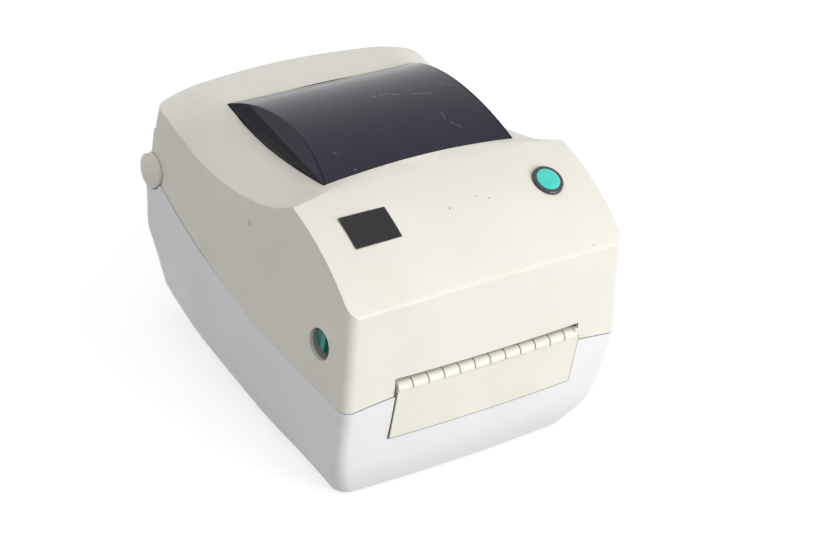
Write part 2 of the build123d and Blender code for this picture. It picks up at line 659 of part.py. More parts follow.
def port_cuts():
    """Openings in the rear wall for the sockets."""
    cuts = []
    for x, width, height, depth in PORTS.values():
        cuts.append(box(x - width / 2 - PORT_GAP, x + width / 2 + PORT_GAP, REAR_RECESS_Y - WALL - 1,
                        REAR_RECESS_Y + 1, PORT_BASE_Z - PORT_GAP, PORT_BASE_Z + height + PORT_GAP))
    return cuts


def make_ports():
    """Sockets on the board that reach through the rear wall."""
    face_y = REAR_RECESS_Y + 1.0
    blocks = {}
    for name, (x, width, height, depth) in PORTS.items():
        blocks[name] = box(x - width / 2, x + width / 2, face_y - depth, face_y, PORT_BASE_Z,
                           PORT_BASE_Z + height)
    x, width, height, depth = PORTS["switch_housing"]
    middle = PORT_BASE_Z + height / 2
    blocks["switch_housing"] -= box(x - width / 2 + 1.5, x + width / 2 - 1.5, face_y - 9, face_y + 1,
                                    middle - 8.2, middle + 8.2)
    x, width, height, depth = PORTS["power_inlet"]
    inlet = Pos(x, face_y, PORT_BASE_Z + height / 2) * Rot(90, 0, 0) * Cylinder(4.6, 18)
    core = Pos(x, face_y - 6, PORT_BASE_Z + height / 2) * Rot(90, 0, 0) * Cylinder(1.2, 9)
    blocks["power_inlet"] = blocks["power_inlet"] - inlet + core
    x, width, height, depth = PORTS["usb_port"]
    cut = box(x - 4.2, x + 4.2, face_y - 9, face_y + 1, PORT_BASE_Z + 1.4, PORT_BASE_Z + height - 1.6)
    tongue = box(x - 2.8, x + 2.8, face_y - 10, face_y - 1, PORT_BASE_Z + 4.0, PORT_BASE_Z + 7.2)
    blocks["usb_port"] = blocks["usb_port"] - cut + tongue
    x, width, height, depth = PORTS["parallel_port"]
    mouth = polygon((x - 15, PORT_BASE_Z + 9.5), (x + 15, PORT_BASE_Z + 9.5), (x + 13, PORT_BASE_Z + 2.5),
                    (x - 13, PORT_BASE_Z + 2.5))
    tongue = box(x - 12, x + 12, face_y - 9, face_y - 1.5, PORT_BASE_Z + 5, PORT_BASE_Z + 7)
    blocks["parallel_port"] = blocks["parallel_port"] - prism_y(mouth, face_y - 8, face_y + 1) + tongue
    x, width, height, depth = PORTS["serial_port"]
    mouth = polygon((x - 7.6, PORT_BASE_Z + 9.4), (x + 7.6, PORT_BASE_Z + 9.4), (x + 6.4, PORT_BASE_Z + 2),
                    (x - 6.4, PORT_BASE_Z + 2))
    serial = blocks["serial_port"] - prism_y(mouth, face_y - 6, face_y + 1)
    for row, count in ((4.6, 4), (6.9, 5)):
        for i in range(count):
            px = x + (i - (count - 1) / 2) * 2.6
            pin_z = PORT_BASE_Z + row
            serial += box(px - 0.45, px + 0.45, face_y - 7, face_y - 2, pin_z - 0.45, pin_z + 0.45)
    blocks["serial_port"] = serial
    for name, block in blocks.items():
        save(name, block)


def make_rocker():
    """Power rocker, pivoting about X inside its housing."""
    x, width, height, depth = PORTS["switch_housing"]
    middle = PORT_BASE_Z + height / 2
    face_y = REAR_RECESS_Y + 1.0
    pivot_y = face_y - 4.6
    reach = 7.4
    face = polygon((pivot_y - 2.6, middle - 3), (pivot_y - 2.6, middle + 3), (face_y - 1.2, middle + reach),
                   (face_y + 0.9, middle + reach - 0.6), (face_y - 0.4, middle),
                   (face_y + 0.9, middle - reach + 0.6), (face_y - 1.2, middle - reach))
    body = prism_x(face, x - width / 2 + 2.0, x + width / 2 - 2.0)
    return body.rotate(Axis((0, pivot_y, middle), (1, 0, 0)), ROCKER_TILT)


def make_deck():
    """Tray inside the base, with the trough for the label roll."""
    edge = base_hull(WALL + 0.5)
    slab = edge & box(-120, 120, DECK_FRONT_Y, 96, DECK_Z - DECK_WALL, DECK_Z)
    outer_r = BAY_R + DECK_WALL
    trough = rod(-BAY_HALF - DECK_WALL, BAY_HALF + DECK_WALL, BAY_Y, BAY_Z, outer_r)
    trough = trough & box(-90, 90, -80, 120, 0, DECK_Z)
    hollow = rod(-BAY_HALF, BAY_HALF, BAY_Y, BAY_Z, BAY_R)
    deck = slab + trough - hollow
    deck -= box(-120, PLATE_X + 1, -120, IDLER_AT[0] + 21, 50, 80)
    deck += box(-BAY_HALF + 10, BAY_HALF - 10, DECK_FRONT_Y, DECK_FRONT_Y + 3, DECK_Z - 1, DECK_Z + 6)
    for side in (-1, 1):
        x0, x1 = sorted((side * (HOLDER_X - HOLDER_TRAVEL - 1), side * (HOLDER_X + HOLDER_ARM + 1)))
        deck -= box(x0, x1, BAY_Y - SLOT_HALF, BAY_Y + SLOT_HALF, 15, 40)
        x0, x1 = sorted((side * (GUIDE_X - GUIDE_TRAVEL - 1), side * (GUIDE_X + 4)))
        deck -= box(x0, x1, GUIDE_Y - 2.4, GUIDE_Y + 2.4, 50, 80)
    deck += post(0, BAY_Y, RACK_Z, BAY_Z - BAY_R - 1, 1.5)
    deck += post(0, GUIDE_Y, GUIDE_RACK_Z, DECK_Z - 1, 1.5)
    for x, y in DECK_POSTS:
        deck -= post(x, y, DECK_Z - 5, DECK_Z + 5, 1.9)
    return deck


def panel_lip():
    """Rolled top edge of the front panel, with grooves at even steps."""
    half = PANEL_HALF
    y = FRONT_Y - 2.2 + LIP_R
    z = PANEL_TOP_Z
    roll = Curve() + [
        Line((y - LIP_R, z - 1), (y - LIP_R, z)),
        ThreePointArc((y - LIP_R, z), (y - LIP_R * math.cos(math.pi / 4), z + LIP_R * math.sin(math.pi / 4)),
                      (y, z + LIP_R)),
        Polyline((y, z + LIP_R), (y + 3.4, z + LIP_R), (y + 3.4, z + LIP_R - 2), (y, z - 1), (y - LIP_R, z - 1)),
    ]
    lip = prism_x(make_face(roll), -half + 1.2, half - 1.2)
    pitch = 2 * half / LIP_RIBS
    for i in range(1, LIP_RIBS):
        x = -half + i * pitch
        groove = rod(x - LIP_GROOVE / 2, x + LIP_GROOVE / 2, y, z, LIP_R + 1)
        groove -= rod(x - 2, x + 2, y, z, LIP_R - LIP_GROOVE)
        lip -= groove & box(-200, 200, -200, y + 1, z - 0.6, 200)
    return lip


def make_panel():
    """Front panel, bowed with the front face, with its ribbed lip."""
    half = PANEL_HALF
    edge_y = FRONT_Y - FRONT_BOW * (1 - (half / HALF_WIDTH) ** 2) - PANEL_PROUD
    middle_y = FRONT_Y - FRONT_BOW - PANEL_PROUD
    outline = Curve() + [
        ThreePointArc((-half, edge_y), (0, middle_y), (half, edge_y)),
        Polyline((half, edge_y), (half, edge_y + 2.4)),
        ThreePointArc((half, edge_y + 2.4), (0, middle_y + 2.4), (-half, edge_y + 2.4)),
        Polyline((-half, edge_y + 2.4), (-half, edge_y)),
    ]
    sheet = Pos(0, 0, PANEL_BOTTOM_Z) * extrude(make_face(outline), PANEL_TOP_Z - PANEL_BOTTOM_Z)
    clips = [box(x - 4, x + 4, middle_y + 1.5, FRONT_Y + PANEL_DEPTH - 0.2, PANEL_BOTTOM_Z + 4,
                 PANEL_BOTTOM_Z + 8) for x in (-48, 0, 48)]
    panel = sheet + panel_lip()
    for clip in clips:
        panel += clip
    return panel


def make_tear_bar():
    """Thin serrated bar behind the lip, where labels are torn."""
    y0 = FRONT_Y + PANEL_DEPTH + 0.8
    half = PANEL_HALF - 4
    count = round(2 * half / TEAR_PITCH)
    pitch = 2 * half / count
    low, high, foot = PANEL_TOP_Z + 3.0, PANEL_TOP_Z + 4.4, PANEL_TOP_Z - 6
    points = [(-half, foot)]
    for i in range(count):
        left = -half + i * pitch
        points += [(left, low), (left + pitch / 2, high)]
    points += [(half, low), (half, foot)]
    return prism_y(polygon(*points), y0, y0 + 1.0)


# Drive train

def gear(teeth, width, bore):
    """Spur gear along X from 0 to width, with one flank line per tooth side."""
    pitch_r = MODULE * teeth / 2
    root_r, tip_r = pitch_r - 1.1 * MODULE, pitch_r + 0.9 * MODULE
    points = []
    for i in range(teeth):
        centre = 2 * math.pi * i / teeth
        for radius, share in ((root_r, -0.30), (tip_r, -0.13), (tip_r, 0.13), (root_r, 0.30)):
            angle = centre + share * 2 * math.pi / teeth
            points.append((radius * math.cos(angle), radius * math.sin(angle)))
    wheel = prism_x(polygon(*points), 0, width)
    return wheel - rod(-1, width + 1, 0, 0, bore)


def gear_windows(count, inner_r, outer_r, width):
    """Openings between the spokes of a gear."""
    half_step = math.pi / count
    tool = Part()
    for i in range(count):
        middle = 2 * half_step * i
        corners = []
        for radius, share in ((inner_r, -0.42), (outer_r, -0.68), (outer_r, 0.68), (inner_r, 0.42)):
            angle = middle + share * half_step
            corners.append((radius * math.cos(angle), radius * math.sin(angle)))
        tool += prism_x(polygon(*corners), -1, width + 1)
    return tool


def place_gear(wheel, x, at, turn=0.0):
    """Move a gear to its axis, turned by some degrees about it."""
    return Pos(x, at[0], at[1]) * Rot(turn, 0, 0) * wheel


def side_plate_face():
    """Side view of a chassis plate that carries platen, idler and motor."""
    foot = PLATE_FOOT_Z
    return polygon((-86, foot), (-42, foot), (-38, 44), (-48, 60), (-85, 60), (-88, 86), (-104, 86),
                   (-107, 66), (-104, 40))


def make_side_plates():
    """Left and right chassis plates, each bent out at its foot."""
    def plate(x0, x1, foot_x):
        body = prism_x(side_plate_face(), x0, x1)
        foot = box(min(foot_x, x0), max(foot_x, x1), -84, -44, PLATE_FOOT_Z, PLATE_FOOT_Z + PLATE)
        return body + foot
    left = plate(PLATE_X, PLATE_X + PLATE, PLATE_X + 13)
    left -= rod(PLATE_X - 2, PLATE_X + 4, PLATEN_Y, PLATEN_Z, 5.0)
    left -= rod(PLATE_X - 2, PLATE_X + 4, PINION_AT[0], PINION_AT[1], 11.2)
    left -= rod(PLATE_X - 2, PLATE_X + 4, IDLER_AT[0], IDLER_AT[1], IDLER_POST_R)
    right = plate(RIGHT_PLATE_X, RIGHT_PLATE_X + PLATE, RIGHT_PLATE_X - 12)
    right -= rod(RIGHT_PLATE_X - 2, RIGHT_PLATE_X + 4, PLATEN_Y, PLATEN_Z, 5.0)
    save("left_side_plate", left)
    save("right_side_plate", right)


def bush(x0, x1):
    """Flanged bush for the platen shaft."""
    ring = rod(x0, x1, PLATEN_Y, PLATEN_Z, 4.95)
    flange = rod(min(x0, x1) - 1.2, min(x0, x1), PLATEN_Y, PLATEN_Z, 6.4)
    return ring + flange - rod(x0 - 5, x1 + 5, PLATEN_Y, PLATEN_Z, PLATEN_SHAFT_R + SHAFT_FIT)


def make_drive():
    """Motor, gears, platen and its bushes."""
    face_x = PLATE_X + PLATE
    y, z = PINION_AT
    body = box(face_x, face_x + MOTOR_LENGTH, y - MOTOR / 2, y + MOTOR / 2, z - MOTOR / 2, z + MOTOR / 2)
    body = chamfer(body.edges().filter_by(Axis.X), 4.0)
    pilot = rod(PLATE_X - 0.6, face_x, y, z, 11.0)
    save("stepper_motor", body + pilot)
    shaft = rod(GEAR_X - 0.5, PLATE_X - 0.6, y, z, 2.5)
    pinion = place_gear(gear(PINION_TEETH, GEAR_WIDTH + 0.5, 2.5), GEAR_X, PINION_AT, PINION_TURN)
    save("motor_pinion", pinion)
    save("motor_shaft", shaft)
    save("idler_post", rod(GEAR_X - 1.0, face_x, *IDLER_AT, IDLER_POST_R)
         + rod(face_x, face_x + 1.0, *IDLER_AT, IDLER_POST_R + 0.6))
    idler = gear(IDLER_TEETH, GEAR_WIDTH, IDLER_POST_R + SHAFT_FIT) - gear_windows(5, 6.0, 14.0, GEAR_WIDTH)
    save("drive_idler", place_gear(idler, GEAR_X, IDLER_AT, IDLER_TURN))
    save("platen_gear", place_gear(gear(PLATEN_TEETH, GEAR_WIDTH, PLATEN_SHAFT_R), GEAR_X, PLATEN_AT))
    save("platen_shaft", rod(GEAR_X - 0.5, RIGHT_PLATE_X + PLATE + 2, PLATEN_Y, PLATEN_Z, PLATEN_SHAFT_R))
    rubber = rod(-PLATEN_HALF, PLATEN_HALF, PLATEN_Y, PLATEN_Z, PLATEN_R)
    save("platen_rubber", rubber - rod(-70, 70, PLATEN_Y, PLATEN_Z, PLATEN_SHAFT_R))
    left = bush(PLATE_X, PLATE_X + PLATE)
    right = bush(RIGHT_PLATE_X, RIGHT_PLATE_X + PLATE)
    save("platen_bushes", left, right)


# Roll holders and label guides

def make_holder(side):
    """Arm with a stepped hub that fits a roll core, and a rack under the tray."""
    x0, x1 = HOLDER_X, HOLDER_X + HOLDER_ARM
    floor_z = BAY_Z - BAY_R
    foot_z = floor_z + 2.2
    web = Curve() + [
        Line((BAY_Y - 15, foot_z), (BAY_Y + 15, foot_z)),
        Line((BAY_Y + 15, foot_z), (BAY_Y + 11, BAY_Z)),
        ThreePointArc((BAY_Y + 11, BAY_Z), (BAY_Y, BAY_Z + 11), (BAY_Y - 11, BAY_Z)),
        Line((BAY_Y - 11, BAY_Z), (BAY_Y - 15, foot_z)),
    ]
    arm = prism_x(make_face(web), x0, x1)
    arm += rod(x0, x1, BAY_Y, BAY_Z, HUB_R)
    arm += rod(x0 - 3, x0, BAY_Y, BAY_Z, HUB_R - 2)
    stub = Pos(x0 - 3 - HUB_STUB / 2, BAY_Y, BAY_Z) * Rot(0, -90, 0) * Cone(CORE_R, CORE_R - 1.2, HUB_STUB)
    arm += stub
    arm -= rod(x0 - 20, x0 + 1, BAY_Y, BAY_Z, CORE_R - 3.2)
    arm += box(x0, x1, BAY_Y - SLOT_HALF + 0.3, BAY_Y + SLOT_HALF - 0.3, RACK_Z, foot_z + 2)
    arm += rack(x0, x1, BAY_Y, RACK_Z, side, HOLDER_TRAVEL)
    return arm if side > 0 else mirror_x(arm)


def rack(x0, x1, y, z, side, travel):
    """Toothed bar under the tray that meets the pinion in the middle."""
    pitch = math.pi * MODULE
    root = MODULE * (RACK_PINION_TEETH / 2 + 1.1) + 0.05
    tip, back = root - 2 * MODULE, root + 2.2
    start = -2 * pitch
    points = [(start, back), (start, root)]
    for i in range(round(travel / pitch) + 4):
        centre = start + (i + 0.5) * pitch
        for share, reach in ((-0.30, root), (-0.13, tip), (0.13, tip), (0.30, root)):
            points.append((centre + share * pitch, reach))
    points += [(x1, root), (x1, back)]
    face = polygon(*[(px, y + side * reach) for px, reach in points])
    link = box(x0, x1, y - side, y + side * back, z, z + RACK)
    return Pos(0, 0, z) * extrude(face, RACK) + link


def make_rack_pinions():
    """Small pinions that tie each pair of racks together."""
    def upright(y, z):
        wheel = Rot(0, -90, 0) * gear(RACK_PINION_TEETH, RACK, 1.5 + SHAFT_FIT)
        return Pos(0, y, z) * wheel
    save("holder_pinion", upright(BAY_Y, RACK_Z))
    save("guide_pinion", upright(GUIDE_Y, GUIDE_RACK_Z))


def make_guide(side):
    """Low edge guide for the label path."""
    x0, x1 = GUIDE_X, GUIDE_X + 3.0
    top = DECK_Z + 9
    web = Curve() + [
        Polyline((GUIDE_Y - 14, DECK_Z + 0.3), (GUIDE_Y + 14, DECK_Z + 0.3), (GUIDE_Y + 14, top - 5)),
        ThreePointArc((GUIDE_Y + 14, top - 5), (GUIDE_Y + 12.5, top - 1.5), (GUIDE_Y + 9, top)),
        Polyline((GUIDE_Y + 9, top), (GUIDE_Y - 9, top)),
        ThreePointArc((GUIDE_Y - 9, top), (GUIDE_Y - 12.5, top - 1.5), (GUIDE_Y - 14, top - 5)),
        Line((GUIDE_Y - 14, top - 5), (GUIDE_Y - 14, DECK_Z + 0.3)),
    ]
    guide = prism_x(make_face(web), x0, x1)
    guide += box(x1 - 0.5, x1 + 5, GUIDE_Y - 9, GUIDE_Y + 9, DECK_Z + 0.3, DECK_Z + 2.3)
    guide += box(x0, x1, GUIDE_Y - 2.1, GUIDE_Y + 2.1, GUIDE_RACK_Z, DECK_Z + 1)
    guide += rack(x0, x1, GUIDE_Y, GUIDE_RACK_Z, side, GUIDE_TRAVEL)
    return guide if side > 0 else mirror_x(guide)


# Cover mechanism: ribbon carriage and print head

def make_ribbon_frame():
    """Two cheeks and cross bars that carry the ribbon hubs and the head."""
    half = RIBBON_FRAME_HALF
    cheek = polygon((-30, 146), (-42, 146), (-56, 139), (-78, 136), (-92, 127), (-100, 118), (-100, 106),
                    (-78, 91), (-62, 91), (-50, 112), (-34, 122))
    frame = prism_x(cheek, half, half + 2.4)
    for y, z, radius in ((SUPPLY_Y, SUPPLY_Z, HUB_STUB_R), (TAKEUP_Y, TAKEUP_Z, HUB_STUB_R),
                         (HEAD_PIVOT_Y, HEAD_PIVOT_Z, HEAD_PIN_R)):
        frame -= rod(half - 1, half + 4, y, z, radius + SHAFT_FIT)
    for x, y, z in FRAME_BOSSES:
        if x > 0:
            pad = box(half, x + 5, y - 4, y + 4, z - 2.4, z)
            frame += pad - post(x, y, z - 3, z + 1, 1.7)
    frame += mirror_x(frame)
    frame += box(-half - 1, half + 1, -99, -95, HEAD_SPRING_TOP, HEAD_SPRING_TOP + 5)
    frame += box(-half - 1, half + 1, -34, -30, 142, 145)
    return frame - rod(-half - 3, -half + 1, *RIBBON_PINION_AT, 2.2)


def make_hub(side, y, z):
    """Ribbon core hub: three tapered fins before a flange, on a stub through the cheek."""
    half = RIBBON_FRAME_HALF
    flange = rod(half - 2.0, half - 0.5, y, z, HUB_FLANGE_R)
    stub = rod(half - 1, half + 2.8, y, z, HUB_STUB_R)
    hub = flange + stub
    side_view = polygon((half - 14, 0), (half - 14, RIBBON_HUB_R - 1.6), (half - 11, RIBBON_HUB_R),
                        (half - 1, RIBBON_HUB_R), (half - 1, 0))
    for i in range(3):
        fin = Pos(0, y, z) * prism_y(side_view, -1.3, 1.3)
        hub += fin.rotate(Axis((0, y, z), (1, 0, 0)), 120 * i)
    return hub if side > 0 else mirror_x(hub)


def make_head():
    """Print head: finned heat sink, ceramic strip, bracket and pivot pin."""
    line_z = PLATEN_Z + PLATEN_R + HEAD_GAP
    strip = box(-HEAD_HALF, HEAD_HALF, PLATEN_Y - 5, PLATEN_Y + 7, line_z, line_z + 1.0)
    save("head_strip", strip)
    sink = box(-HEAD_HALF, HEAD_HALF, PLATEN_Y - 4, PLATEN_Y + 20, line_z + 1.0, line_z + 9)
    for i in range(9):
        y = PLATEN_Y - 1.6 + i * 2.5
        sink -= box(-HEAD_HALF - 1, HEAD_HALF + 1, y, y + 1.2, line_z + 4, line_z + 10)
    save("heat_sink", sink)
    reach = HEAD_HALF + 6.0
    arm = box(HEAD_HALF, reach, PLATEN_Y + 4, HEAD_PIVOT_Y, line_z + 2, line_z + 7)
    arm += rod(HEAD_HALF + 2, reach, HEAD_PIVOT_Y, HEAD_PIVOT_Z, 5.0)
    arm += box(HEAD_HALF, reach, HEAD_PIVOT_Y - 8, HEAD_PIVOT_Y, line_z + 2, HEAD_PIVOT_Z)
    arm += mirror_x(arm)
    bar = box(-reach, reach, HEAD_PIVOT_Y - 2.0, HEAD_PIVOT_Y + 2.0, HEAD_PIVOT_Z - 3, HEAD_PIVOT_Z + 3)
    bracket = arm + bar
    pin = RIBBON_FRAME_HALF + 2.4
    bracket += rod(-pin, pin, HEAD_PIVOT_Y, HEAD_PIVOT_Z, HEAD_PIN_R)
    save("head_bracket", bracket)


def make_ribbon_drive():
    """Take-up gear on the left hub, and the small motor that turns it."""
    half = RIBBON_FRAME_HALF
    out_x = -half - 2.8 - 4.0
    wheel = gear(TAKEUP_TEETH, 4.0, 1.0) - gear_windows(6, 7.0, 13.0, 4.0)
    save("takeup_gear", place_gear(wheel, out_x, (TAKEUP_Y, TAKEUP_Z)))
    pinion = gear(RIBBON_PINION_TEETH, 4.0, 1.0) + rod(0, half - 60 + 2, 0, 0, 1.0)
    save("ribbon_pinion", place_gear(pinion, out_x, RIBBON_PINION_AT, RIBBON_PINION_TURN))
    y, z = RIBBON_PINION_AT
    save("ribbon_motor", rod(-half, -half + 26, y, z, RIBBON_MOTOR_R) - rod(-half - 1, -half + 3, y, z, 1.06))


def make_head_springs():
    """Two springs that press the head down, drawn as sleeves."""
    bottom = PLATEN_Z + PLATEN_R + HEAD_GAP + 9 + HEAD_SPRING_PLAY
    springs = [post(x, -97, bottom, HEAD_SPRING_TOP, 3.4) - post(x, -97, bottom - 1, HEAD_SPRING_TOP + 1, 2.4)
               for x in (-30, 30)]
    save("head_springs", *springs)


def make_latch(side):
    """Green finger slide in its cup, with a shank that reaches inside."""
    inner_x = HALF_WIDTH - 13.0
    tab = rod(inner_x + 2.0, inner_x + 4.0, LATCH_Y + 1.0, LATCH_Z, LATCH_HOLE_R - 1.4)
    grip = box(inner_x + 3.0, HALF_WIDTH - 3.4, LATCH_Y - 1.4, LATCH_Y + 2.2, LATCH_Z - 6.0, LATCH_Z + 6.0)
    grip = fillet(grip.edges().filter_by(Axis.Y), 1.5)
    shank = box(inner_x - 4, inner_x + 2.5, LATCH_Y - 1, LATCH_Y + 4, LATCH_Z - 3.4, LATCH_Z + 3.4)
    latch = tab + grip + shank
    return latch if side > 0 else mirror_x(latch)


def make_hinge_cap(side):
    """Domed cap with the hinge pin behind it."""
    rim_x = HALF_WIDTH + 0.2
    inner_x, wall_x = HALF_WIDTH - 18.5, HALF_WIDTH - WALL
    ball_r = (HINGE_CAP_R ** 2 + HINGE_CAP_DOME ** 2) / (2 * HINGE_CAP_DOME)
    dome = []
    for share in (1.0, 0.75, 0.45, 0.0):
        radius = share * HINGE_CAP_R
        dome.append((rim_x + HINGE_CAP_DOME - ball_r + math.sqrt(ball_r ** 2 - radius ** 2), radius))
    outline = polygon((inner_x, 0), (inner_x, HINGE_PIN_R), (wall_x, HINGE_PIN_R), (wall_x, HINGE_CAP_R), *dome)
    cap = Pos(0, HINGE_Y, HINGE_Z) * revolve(outline, Axis.X)
    return cap if side > 0 else mirror_x(cap)


def make_board():
    """Main circuit board and the tall parts on it."""
    board = box(-BOARD_HALF, BOARD_HALF, BOARD_FRONT_Y, REAR_RECESS_Y - WALL - 0.4, BOARD_Z,
                BOARD_Z + BOARD_THICK)
    save("main_board", board)
    top = BOARD_Z + BOARD_THICK
    chips = [box(x, x + w, y, y + d, top, top + h) for x, y, w, d, h in
             ((-30, -34, 28, 28, 2.6), (10, -30, 18, 12, 2.4), (10, -14, 18, 12, 2.4))]
    cans = [post(x, y, top, top + 18, 5.5) for x, y in ((46, -33), (46, -19), (-46, -26))]
    save("board_parts", *chips, *cans)


def stud(x, y, z0, z1, radius):
    """Plain eight-sided length of a screw."""
    return Pos(x, y, z0) * extrude(RegularPolygon(radius, 8), z1 - z0)


def make_screws():
    """Screws that hold the tray and the ribbon frame, with plain faces."""
    save("deck_screws", *[stud(x, y, DECK_Z, DECK_Z + 1.8, 3.4) + stud(x, y, DECK_UNDER - 9, DECK_Z, 1.25)
                          for x, y in DECK_POSTS])
    save("frame_screws", *[stud(x, y, z - 4.2, z - 2.4, 3.0) + stud(x, y, z - 2.4, z + 6, 1.2)
                           for x, y, z in FRAME_BOSSES])


def make_feet():
    """Four rubber feet pressed into the underside."""
    pads = []
    for x, y in FEET:
        pad = post(x, y, 0, FOOT_HEIGHT + FOOT_SEAT, FOOT_R)
        pads.append(chamfer(pad.edges().group_by(Axis.Z)[0], 0.6))
    save("rubber_feet", *pads)


def build():
    """Make every node."""
    save("base_shell", make_base())
    save("inner_deck", make_deck())
    save("front_panel", make_panel())
    save("tear_bar", make_tear_bar())
    save("top_cover", make_cover())
    save("window", make_window())
    save("badge_plate", make_badge())
    make_button_parts()
    make_ports()
    save("power_rocker", make_rocker())
    make_side_plates()
    make_drive()
    for side, name in ((-1, "left"), (1, "right")):
        save("roll_holder_" + name, make_holder(side))
        save("label_guide_" + name, make_guide(side))
        save("supply_hub_" + name, make_hub(side, SUPPLY_Y, SUPPLY_Z))
        save("takeup_hub_" + name, make_hub(side, TAKEUP_Y, TAKEUP_Z))
        save("latch_" + name, make_latch(side))
    save("hinge_caps", make_hinge_cap(-1), make_hinge_cap(1))
    save("ribbon_frame", make_ribbon_frame())
    make_head()
    make_board()
    make_rack_pinions()
    make_ribbon_drive()
    make_head_springs()
    save("label_sensor", box(4, 16, DECK_FRONT_Y + 4, DECK_FRONT_Y + 12, DECK_Z, DECK_Z + 3.4))
    make_screws()
    make_feet()


build()
os.makedirs("parts", exist_ok=True)
for node_name, node_shape in NODES.items():
    export_step(node_shape, "parts/" + node_name + ".step")
print(len(NODES), "nodes written")
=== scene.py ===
"""Dresses the desktop label printer: finishes for every CAD piece, small new pieces, light and camera.

Everything is in metres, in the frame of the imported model: X to the right of a
person facing the printer, Y to the back, Z up, the table at Z = 0.
"""

import json
import math

import bpy
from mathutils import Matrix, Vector


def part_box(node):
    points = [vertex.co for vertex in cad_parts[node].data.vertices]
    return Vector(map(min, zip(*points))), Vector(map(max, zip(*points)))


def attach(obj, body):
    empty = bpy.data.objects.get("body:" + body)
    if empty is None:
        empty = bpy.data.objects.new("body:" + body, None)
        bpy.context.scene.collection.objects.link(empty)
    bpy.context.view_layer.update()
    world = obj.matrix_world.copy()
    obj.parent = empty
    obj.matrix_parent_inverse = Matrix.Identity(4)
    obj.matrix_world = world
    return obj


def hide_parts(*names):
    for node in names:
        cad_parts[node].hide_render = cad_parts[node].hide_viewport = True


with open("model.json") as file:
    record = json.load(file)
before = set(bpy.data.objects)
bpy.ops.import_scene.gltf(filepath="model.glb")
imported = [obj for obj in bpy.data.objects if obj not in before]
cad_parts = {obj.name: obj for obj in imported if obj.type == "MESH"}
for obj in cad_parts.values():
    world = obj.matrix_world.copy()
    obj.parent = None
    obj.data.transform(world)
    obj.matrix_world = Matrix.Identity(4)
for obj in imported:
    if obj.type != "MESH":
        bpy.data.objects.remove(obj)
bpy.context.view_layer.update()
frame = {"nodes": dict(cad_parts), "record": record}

bl_info = {
    "name": "Label Printer Dresser",
    "version": (1, 0, 0),
    "blender": (4, 5, 0),
    "location": "3D View > Sidebar > Printer",
    "description": "Finishes, fittings and studio for a desktop label printer",
    "category": "Object",
}

MM = 0.001

# The front panel's half width and the height of its lower edge, in mm
PANEL_HALF = 65.6
PANEL_FOOT = 46.5

# The window's ends: half width in mm and lean of the cheeks in degrees. Two lines in side view, each
# with its slope along Y and its height at Y = 0 in mm: where a cheek starts to lean, and the top of the
# painted shade on its lower part
WINDOW_HALF = 67.2
CHEEK_LEAN = 20.0
WINDOW_FOOT = (-0.0461, 160.55)
CHEEK_SHADE = (0.0451, 162.83)

# Fine scratches on the window, seen from above: both ends and half width, in mm
WINDOW_SCRATCHES = [
    ((2.0, 27.7), (11.4, 27.7), 0.22),
    ((11.4, 27.7), (19.4, 23.6), 0.22),
    ((26.0, 21.8), (38.7, 17.9), 0.20),
    ((-50.3, -9.4), (-49.1, -11.9), 0.15),
    ((32.9, 0.4), (31.8, -5.3), 0.11),
    ((33.5, -8.2), (38.8, -13.4), 0.10),
    ((-44.7, -23.7), (-42.6, -23.0), 0.15),
    ((47.5, 25.9), (58.3, 20.3), 0.12),
]

# Small sink marks on the cover's left side, painted as the shade in their shallow dips: centre and radius in
# mm, strength
COVER_SINK_SHADES = [
    ((-96.8, -2.9, 128.3), 1.7, 0.35),
    ((-97.8, -48.1, 72.5), 0.9, 0.3),
]

# Specks and short scuffs on the slope, seen from above: both ends and half width in mm, strength
SLOPE_MARKS = [
    ((-7.4, -67.2), (-7.0, -66.8), 0.42, 0.8),
    ((20.5, -66.9), (21.2, -66.9), 0.30, 0.6),
    ((13.6, -63.5), (14.8, -63.9), 0.24, 0.5),
    ((73.5, -103.9), (75.4, -104.6), 0.26, 0.4),
]

# Seats of the screw heads in the tray and under the ribbon frame, taken from the CAD pieces
TRAY_SCREWS = [(-0.078, -0.004, 0.066), (0.088, -0.050, 0.066), (0.078, 0.044, 0.066), (-0.078, 0.060, 0.066)]
FRAME_SCREWS = [(-0.0725, -0.036, 0.1436), (0.0725, -0.036, 0.1436), (-0.0725, -0.072, 0.1336),
                (0.0725, -0.072, 0.1336)]

# Screws: height of the head, half width of its cross recess, and radius and length of each shank
HEAD_HEIGHT = 0.0018
RECESS_HALF = 0.00042
TRAY_SHANK = (0.00125, 0.0114)
FRAME_SHANK = (0.0012, 0.0084)

# Head springs: radius to the middle of the wire, the wire's radius, and where they stand
SPRING_RADIUS = 0.0029
WIRE_RADIUS = 0.00045
SPRING_X = 0.030
SPRING_Y = -0.097

# Finger pads on the latches: radius, depth, how far the middle sits behind the latch's face, and rounding.
# A larger upright cylinder hollows each pad: its radius, length and distance from the face
PAD_RADIUS = 0.0078
PAD_DEPTH = 0.0046
PAD_INSET = 0.0036
PAD_ROUNDING = 0.0012
HOLLOW_RADIUS = 0.0220
HOLLOW_LENGTH = 0.020
HOLLOW_AWAY = 0.0193

# Clip at the end of the panel's lip: distance in from the end, half width and rounding, its two depths
# behind the panel's front, and how far it goes under and over the top of the lip
CLIP_INSET = 0.0022
CLIP_HALF = 0.0011
CLIP_ROUNDING = 0.0005
CLIP_DEPTHS = (0.0022, 0.0054)
CLIP_UNDER = 0.0052
CLIP_OVER = 0.0008

# The film under the plate: its size beside the plate's, and its shift down the slope and into it
FILM_SCALE = 1.035
FILM_SHIFT = (0.0, 0.00030, -0.00042)

